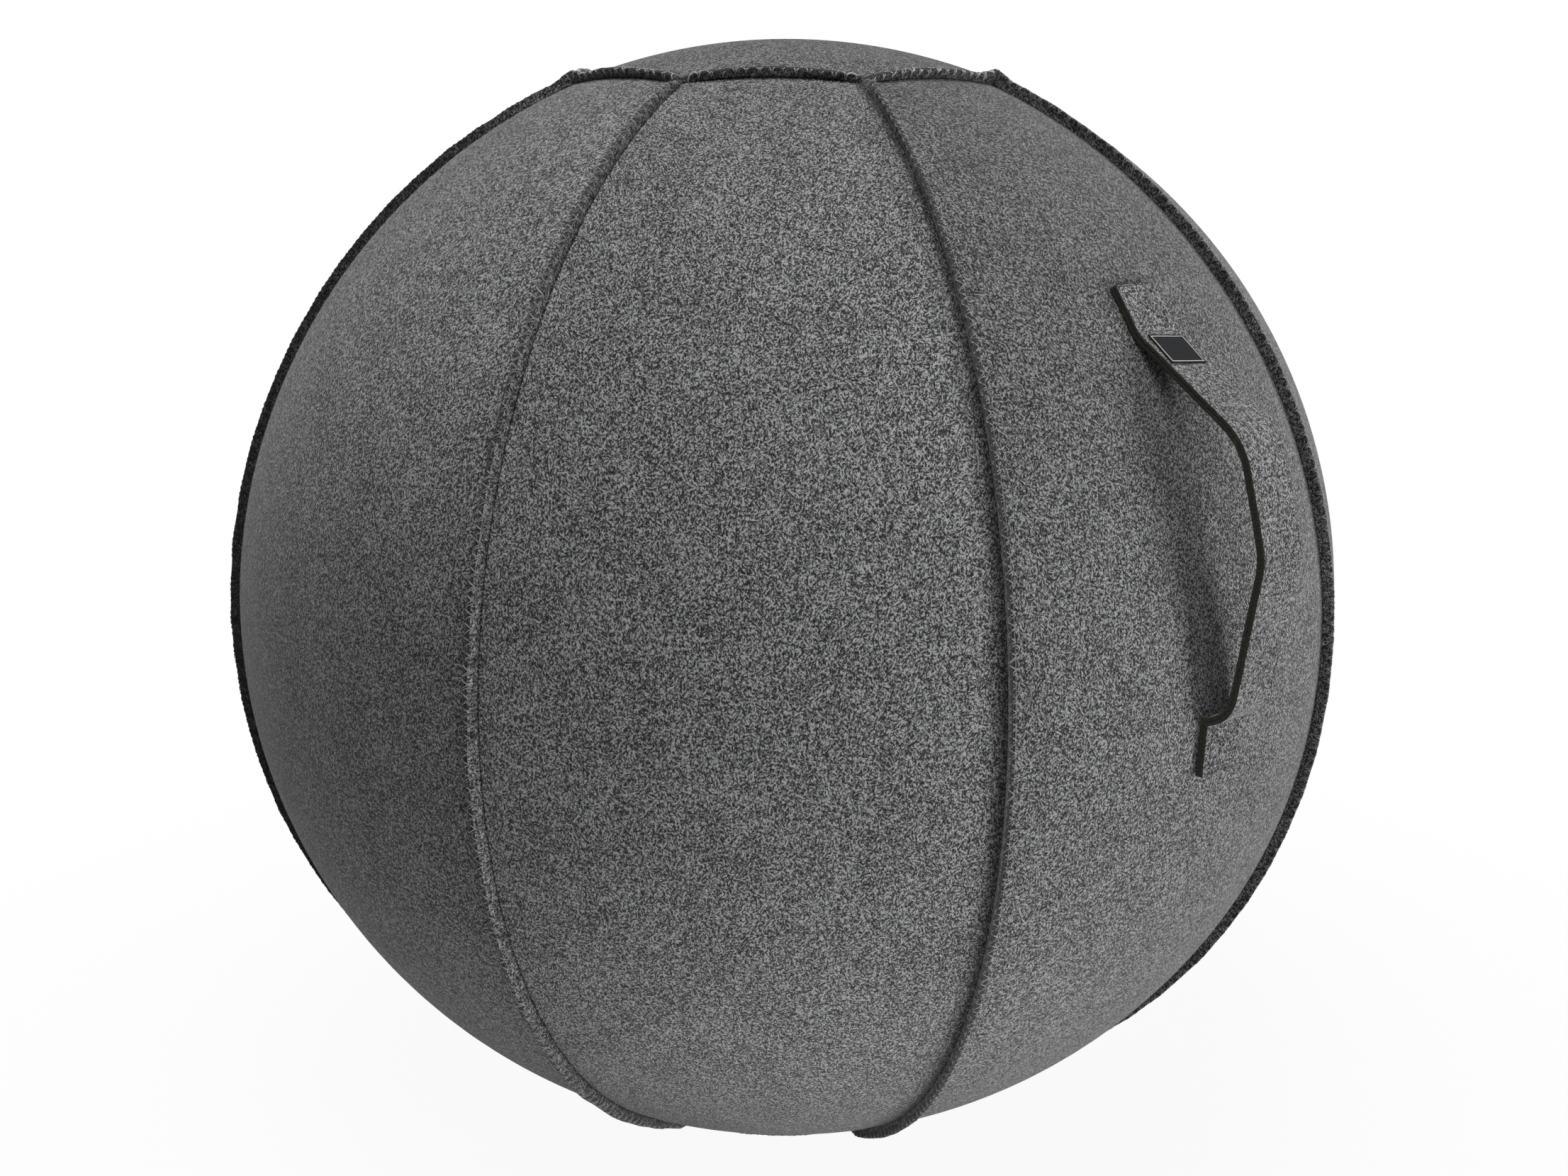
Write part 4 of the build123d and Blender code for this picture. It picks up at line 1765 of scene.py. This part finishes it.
@dataclass
class Zip:
    """The zip in one rear seam: woven tapes, coils, and rows of stitches beside them."""

    form: CoverForm
    seam: SideSeam
    slit: float = 0.0018
    tape: float = 0.0008
    tape_rim: float = 0.00015
    tape_depth: float = 0.0003
    tape_clearance: float = 0.00005
    coil_width: float = 0.0024
    coil_height: float = 0.0016
    coil_pitch: float = 0.0016
    coil_steps: int = 10
    wire: float = 0.00032
    head: float = 0.006
    tail: float = 0.034
    columns: int = 8
    rows: int = 130
    row_inset: float = 0.0030
    row_start: float = 1.5
    row_spare: int = 2
    stitch: float = 0.0032
    stitch_gap: float = 0.0010
    stitch_radius: float = 0.00026
    bites: tuple = ((0.0, -0.0005), (0.2, 0.0001), (0.5, 0.0002), (0.8, 0.0001), (1.0, -0.0005))

    @property
    def chain(self) -> tuple[float, float]:
        """Elevations of the chain's two ends."""
        low = self.seam.zip_low + self.tail / self.form.radius
        return low, self.seam.zip_high - self.head / self.form.radius

    def at(self, lift: float, height: float, aside: float) -> Vector:
        """Point at a height over the felt and a distance aside of the seam's plane."""
        return self.form.at(self.seam.azimuth, lift, height) + self.seam.aside * aside

    def build(self) -> list[bpy.types.Object]:
        """Make the tapes, the coils and the stitches.

        Returns:
            The finished pieces.
        """
        pieces = []
        for label, way in (("left", 1.0), ("right", -1.0)):
            pieces.append(self.make_tape(label, way))
            pieces.append(self.make_coil(label, way))
        pieces.append(self.make_stitches())
        return pieces

    def make_tape(self, label: str, way: float) -> bpy.types.Object:
        """Lay one woven tape from the slit out to the felt.

        Args:
            label: left or right.
            way: Side of the seam's plane on which it lies.

        Returns:
            The finished piece.
        """
        near, far = self.slit / 2.0, self.seam.zip_half - self.tape_clearance

        def spot(column: int, row: int) -> Spot:
            """Lay one grid point of the tape.

            Args:
                column: Grid line across the tape, from the slit.
                row: Grid line along it, from the foot.

            Returns:
                The spot of that grid point.
            """
            across = mix(near, far, column / self.columns)
            lift = mix(self.seam.zip_low, self.seam.zip_high, row / self.rows)
            point = self.at(lift, -self.tape_depth, way * across)
            return Spot(point, (across, self.form.radius * lift), 0.0, 0.0)

        piece = sheet_mesh(f"zip_tape_{label}_weave", self.columns, self.rows, spot)
        face_outward(piece, self.form.centre)
        thicken(piece, self.tape, self.tape_rim)
        dress(piece, Finishes.zip_tape, Finishes.zip_tape)
        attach(piece, Body.BALL.value)
        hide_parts(f"zip_tape_{label}")
        return report(piece)

    def make_coil(self, label: str, way: float) -> bpy.types.Object:
        """Wind one coil along its tape.

        Args:
            label: left or right.
            way: Side of the seam's plane on which it lies.

        Returns:
            The finished piece.
        """
        low, high = self.chain
        steps = self.coil_steps * round((high - low) * self.form.radius / self.coil_pitch)
        reach = self.coil_width / 2.0 - self.wire
        rise = self.coil_height / 2.0 - self.wire
        path = []
        for step in range(steps + 1):
            turn = 2.0 * math.pi * step / self.coil_steps
            across = self.slit / 2.0 + self.coil_width / 2.0 + reach * math.cos(turn)
            height = self.coil_height / 2.0 + rise * math.sin(turn)
            path.append(self.at(mix(low, high, step / steps), height, way * across))
        piece = tube(f"zip_coil_{label}_turns", [path], self.wire)
        dress(piece, Finishes.coil)
        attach(piece, Body.BALL.value)
        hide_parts(f"zip_coil_{label}")
        return report(piece)

    def make_stitches(self) -> bpy.types.Object:
        """Sew a row through the felt on each side of the zip.

        Returns:
            The finished piece.
        """
        span = self.seam.zip_high - self.seam.zip_low
        pace = (self.stitch + self.stitch_gap) / self.form.radius
        count = int(span / pace) - self.row_spare
        paths = []
        for way in (-1.0, 1.0):
            across = way * (self.seam.zip_half + self.row_inset)
            for number in range(count):
                points = []
                first = self.seam.zip_low + (number + self.row_start) * pace
                for along, height in self.bites:
                    lift = first + along * self.stitch / self.form.radius
                    turn = math.asin(across / (self.form.radius * math.cos(lift)))
                    points.append(self.form.at(self.seam.azimuth + turn, lift, height))
                paths.append(points)
        piece = tube("zip_stitches", paths, self.stitch_radius)
        dress(piece, Finishes.dark_thread)
        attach(piece, Body.BALL.value)
        return report(piece)


@dataclass
class AirBall:
    """The inflated ball under the felt, with fine ribs round its middle."""

    form: CoverForm
    under: float = 0.0042
    rib: float = 0.0002
    rib_pitch: float = 0.006
    rib_band: float = 0.45
    rib_full: float = 0.36
    columns: int = 128
    rows: int = 200

    def build(self) -> bpy.types.Object:
        """Spin the ball's outline about its axis and dress it.

        Returns:
            The finished piece.
        """
        shape = bmesh.new()
        start = shape.verts.new(self.form.centre + Vector((0.0, 0.0, -self.form.radius)))
        bmesh.ops.spin(
            shape,
            geom=[start],
            cent=self.form.centre,
            axis=(0.0, -1.0, 0.0),
            angle=math.pi,
            steps=self.rows,
        )
        shape.verts.ensure_lookup_table()
        for vert in shape.verts:
            vert.co = self.skin(vert.co)
        bmesh.ops.spin(
            shape,
            geom=shape.verts[:] + shape.edges[:],
            cent=self.form.centre,
            axis=(0.0, 0.0, 1.0),
            angle=2.0 * math.pi,
            steps=self.columns,
            use_merge=True,
        )
        bmesh.ops.remove_doubles(shape, verts=shape.verts[:], dist=MERGE_WITHIN)
        bmesh.ops.recalc_face_normals(shape, faces=shape.faces[:])
        piece = finished(shape, "air_ball")
        dress(piece, Finishes.skin)
        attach(piece, Body.BALL.value)
        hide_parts("inflatable_ball")
        return report(piece)

    def skin(self, point: Vector) -> Vector:
        """Draw a point of the outline in to the skin, ribbed near the middle and flat at the foot.

        Args:
            point: A point of the outline.

        Returns:
            The point of the skin.
        """
        way = (point - self.form.centre).normalized()
        lift = math.asin(max(-1.0, min(1.0, way.z)))
        ribs = math.cos(2.0 * math.pi * lift * self.form.radius / self.rib_pitch)
        band = 1.0 - smooth_step(abs(lift), self.rib_full, self.rib_band)
        radius = self.form.radius - self.under + self.rib * ribs * band
        moved = self.form.centre + way * radius
        moved.z = max(moved.z, self.under)
        return moved


@dataclass(frozen=True)
class SoftBox:
    """A square lamp: how far right, front and up of the ball's centre, its side, and its power in watts."""

    name: str
    right: float
    front: float
    up: float
    size: float
    power: float

    def hang(self, centre: Vector, right: Vector, front: Vector) -> None:
        """Hang the lamp, facing the ball and out of the camera's sight.

        Args:
            centre: The ball's centre.
            right: Direction to the right in the photograph.
            front: Level direction toward the camera.
        """
        away = right * self.right + front * self.front + Vector((0.0, 0.0, self.up))
        lamp = bpy.data.lights.new(self.name, "AREA")
        lamp.shape = "SQUARE"
        lamp.size = self.size
        lamp.energy = self.power
        holder = bpy.data.objects.new(self.name, lamp)
        bpy.context.scene.collection.objects.link(holder)
        holder.visible_camera = False
        holder.location = centre + away
        holder.rotation_mode = "QUATERNION"
        holder.rotation_quaternion = (-away).to_track_quat("-Z", "Y")


@dataclass
class Studio:
    """Pale floor, soft light and the camera of the photograph."""

    form: CoverForm
    azimuth: float = math.radians(-41.0)
    lift: float = math.radians(14.57)
    roll: float = math.radians(0.18)
    distance: float = 3.526
    frame_width: float = 2212.0
    focal_pixels: float = 2614.0
    aim_pixels: tuple[float, float] = (-3.0, -1.5)
    sensor: float = 36.0
    near_clip: float = 0.01
    floor_radius: float = 9.0
    floor_sides: int = 96
    floor_pale: float = 0.84
    floor_white: float = 0.94
    shadow_reach: tuple[float, float] = (0.30, 0.75)
    room_light: float = 0.01
    lamps: tuple[SoftBox, ...] = (
        SoftBox("top_box", right=-0.2, front=0.66, up=2.2, size=1.4, power=36.5),
        SoftBox("right_box", right=1.7, front=0.9, up=-0.2, size=0.7, power=25.0),
        SoftBox("floor_box", right=0.0, front=0.36, up=-0.314, size=0.4, power=0.38),
        SoftBox("back_box", right=-0.85, front=-1.85, up=0.15, size=0.9, power=25.0),
    )

    def build(self) -> None:
        """Set up everything round the ball."""
        self.make_camera()
        self.make_floor()
        self.make_world()
        for lamp in self.lamps:
            lamp.hang(self.form.centre, self.right, self.form.toward(self.azimuth, 0.0))
        bpy.context.scene.view_settings.view_transform = "Standard"

    @property
    def back(self) -> Vector:
        """Direction from the ball's centre to the camera."""
        return self.form.toward(self.azimuth, self.lift)

    @property
    def right(self) -> Vector:
        """Direction to the right in the photograph."""
        return Vector((math.cos(self.azimuth), math.sin(self.azimuth), 0.0))

    def make_camera(self) -> None:
        """Stand the camera where the photograph was taken from."""
        lens = bpy.data.cameras.new("camera")
        camera = bpy.data.objects.new("camera", lens)
        bpy.context.scene.collection.objects.link(camera)
        away = self.distance * self.form.radius
        up = self.back.cross(self.right)
        aim = self.right * self.aim_pixels[0] + up * self.aim_pixels[1]
        target = self.form.centre + aim * (away / self.focal_pixels)
        stand = self.form.centre + self.back * away
        turn = (target - stand).to_track_quat("-Z", "Y").to_matrix().to_4x4()
        camera.matrix_world = Matrix.Translation(stand) @ turn @ Matrix.Rotation(self.roll, 4, "Z")
        lens.sensor_width = self.sensor
        lens.lens = self.sensor * self.focal_pixels / self.frame_width
        lens.clip_start = self.near_clip
        bpy.context.scene.camera = camera

    def make_floor(self) -> None:
        """Lay a pale floor that the camera sees nearly white, with the ball's shadow on it."""
        shape = bmesh.new()
        bmesh.ops.create_circle(shape, cap_ends=True, radius=self.floor_radius, segments=self.floor_sides)
        floor = finished(shape, "floor", smooth=False)
        paint = bpy.data.materials.new("pale_floor")
        paint.use_nodes = True
        tree = paint.node_tree
        tree.nodes.clear()
        graph = Graph(tree)
        pale = graph.add("BsdfDiffuse", {"Color": toned(WHITE, self.floor_pale)})
        white = graph.add("Emission", {"Color": toned(WHITE), "Strength": 1.0})
        seen = graph.seen_directly()
        away = graph.add("VectorMath", {0: graph.object_place()}, operation="LENGTH").outputs["Value"]
        share = graph.math("MULTIPLY", seen, graph.spread(away, *self.shadow_reach, self.floor_white, 1.0))
        both = graph.add("MixShader", {0: share, 1: pale.outputs[0], 2: white.outputs[0]})
        graph.add("OutputMaterial", {"Surface": both.outputs[0]})
        floor.data.materials.append(paint)

    def make_world(self) -> None:
        """Fill the room with soft light, white where the camera looks."""
        world = bpy.data.worlds.new("room")
        world.use_nodes = True
        tree = world.node_tree
        tree.nodes.clear()
        graph = Graph(tree)
        soft = graph.add("Background", {"Color": toned(WHITE), "Strength": self.room_light})
        white = graph.add("Background", {"Color": toned(WHITE), "Strength": 1.0})
        seen = graph.seen_directly()
        both = graph.add("MixShader", {0: seen, 1: soft.outputs[0], 2: white.outputs[0]})
        graph.add("OutputWorld", {"Surface": both.outputs[0]})
        bpy.context.scene.world = world


@dataclass
class SittingBall:
    """The whole ball, built from the frame."""

    frame: dict
    lean_by_seam: tuple = (-0.0016, 0.0008, -0.0012, 0.0, 0.0012, -0.0012, -0.0022, -0.0026)
    slump_by_seam: tuple = (0.0014, 0.0014, 0.0014, 0.0014, 0.0014, 0.0028, 0.0014, 0.0014)
    droop_by_seam: tuple = (0.0, 0.0, 0.0, 0.0, 0.0, 0.0, 0.0016, 0.0)
    # Painted light and shade on each seam's right wall: most are painted paler than plain; seam 5 is far
    # darker, partly painted shade and partly its own darker edge.
    painted_wall_level_by_seam: tuple = (1.0, 0.9, 0.9, 0.9, 0.9, 0.20, 1.0, 0.95)
    foot_lean: float = 0.0006
    cap_thread: float = 0.00029
    cap_lean: tuple = (-0.0040, -0.0012, 0.0004, -0.0006, 0.0003, -0.0012, -0.0036, -0.0044)
    top_stubs: tuple = (0.0010, 0.002, -0.003, 0.003, -0.002, -0.0002, -0.0050, -0.0046)
    foot_stubs: tuple = (-0.002, 0.002, -0.003, 0.001, -0.002, -0.003, -0.0046, -0.0034)
    # Where along each listed seam its painted wall level holds before fading to plain.
    painted_wall_span_by_seam: dict = field(default_factory=lambda: {5: (0.0, 0.90, 1.15), 6: (0.10, 0.40, 0.95)})
    # Painted light and shade on three gores, standing in for the sheen and the fall of light: gores 6 and 7
    # paler toward the top, gore 0 darker.
    painted_panel_light_by_gore: dict = field(
        default_factory=lambda: {
            0: ((1.0, 0.77), (0.1, 0.75)),
            6: ((0.77, 1.20), (0.0, 0.65)),
            7: ((0.93, 1.09), (-0.5, 0.1)),
        }
    )
    zip_seam: int = 3
    zip_top: float = 0.150
    zip_length: float = 0.400
    form: CoverForm = field(init=False)

    def __post_init__(self) -> None:
        """Take the ball's centre and radius from the frame."""
        centre = Vector(self.joint("zip_travel")["pos_m"])
        _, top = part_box("top_cap")
        self.form = CoverForm(centre, top.z - centre.z)

    def joint(self, name: str) -> dict:
        """Find a joint of the frame by its name."""
        return next(joint for joint in self.frame["joints"] if joint["name"] == name)

    def side_seams(self) -> list[SideSeam]:
        """Set out the seams between the gores, with the zip in one of them.

        Returns:
            The seams in order, each to the right of the gore of its number.
        """
        seams = []
        for index in range(self.form.gores):
            low, high = 0.0, 0.0
            if index == self.zip_seam:
                high = self.zip_top / self.form.radius
                low = (self.zip_top - self.zip_length) / self.form.radius
            seam = SideSeam(
                self.form,
                index,
                lean_bias=self.lean_by_seam[index],
                slump=self.slump_by_seam[index],
                droop=self.droop_by_seam[index],
                zip_low=low,
                zip_high=high,
                stubs=(self.foot_stubs[index], self.top_stubs[index]),
                painted_wall_level=self.painted_wall_level_by_seam[index],
                painted_wall_span=self.painted_wall_span_by_seam.get(index, SideSeam.painted_wall_span),
            )
            seams.append(seam)
        return seams

    def cap_seams(self, end: End) -> list[CapSeam]:
        """Set out the seams round a cap, with the stubs of the corners at their ends.

        Args:
            end: Which cap.

        Returns:
            The seams in order, each above or below the gore of its number.
        """
        heights = self.top_stubs if end is End.TOP else self.foot_stubs
        seams = []
        for index in range(self.form.gores):
            stubs = (heights[index - 1], heights[index])
            bias = self.cap_lean[index] if end is End.TOP else self.foot_lean
            seams.append(CapSeam(self.form, index, end, lean_bias=bias, stubs=stubs))
        return seams

    def build(self) -> None:
        """Build every piece in order."""
        sides = self.side_seams()
        tops = self.cap_seams(End.TOP)
        feet = self.cap_seams(End.BOTTOM)
        for index in range(self.form.gores):
            painted_panel_light, span = self.painted_panel_light_by_gore.get(index, (GorePanel.painted_panel_light, GorePanel.painted_panel_light_span))
            beside = sides[index - 1], sides[index]
            GorePanel(self.form, index, *beside, tops[index], feet[index], painted_panel_light, span).build()
        Cap(self.form, End.TOP, tops).build()
        Cap(self.form, End.BOTTOM, feet).build()
        sewing = Overlock(self.form)
        for seam in sides:
            # A seam whose wall is painted darker than plain takes dark thread, partly as painted shade.
            thread = Finishes.dark_thread if seam.painted_wall_level < PLAIN_SHADE else Finishes.overlock
            sewing.build(f"overlock_seam_{seam.index + 1}", [seam], thread)
        Overlock(self.form, thread=self.cap_thread).build("overlock_top_cap", tops, Finishes.cap_thread)
        sewing.build("overlock_bottom_cap", feet, Finishes.overlock)
        Zip(self.form, sides[self.zip_seam]).build()
        Handle(self.form, self.joint("handle_swing")).build()
        AirBall(self.form).build()
        self.dress_nodes()

    def dress_nodes(self) -> None:
        """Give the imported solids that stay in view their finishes."""
        finishes = {"valve_plug": Finishes.plug}
        for name in ("zip_top_stops", "zip_bottom_stop", "zip_slider", "zip_pull"):
            finishes[name] = Finishes.metal
        for name, finish in finishes.items():
            dress(self.frame["nodes"][name], finish)


def main() -> None:
    """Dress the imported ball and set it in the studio."""
    logging.basicConfig(level=logging.INFO, format="%(name)s %(message)s")
    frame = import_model()
    ball = SittingBall(frame)
    ball.build()
    Studio(ball.form).build()


if __name__ == "__main__":
    main()
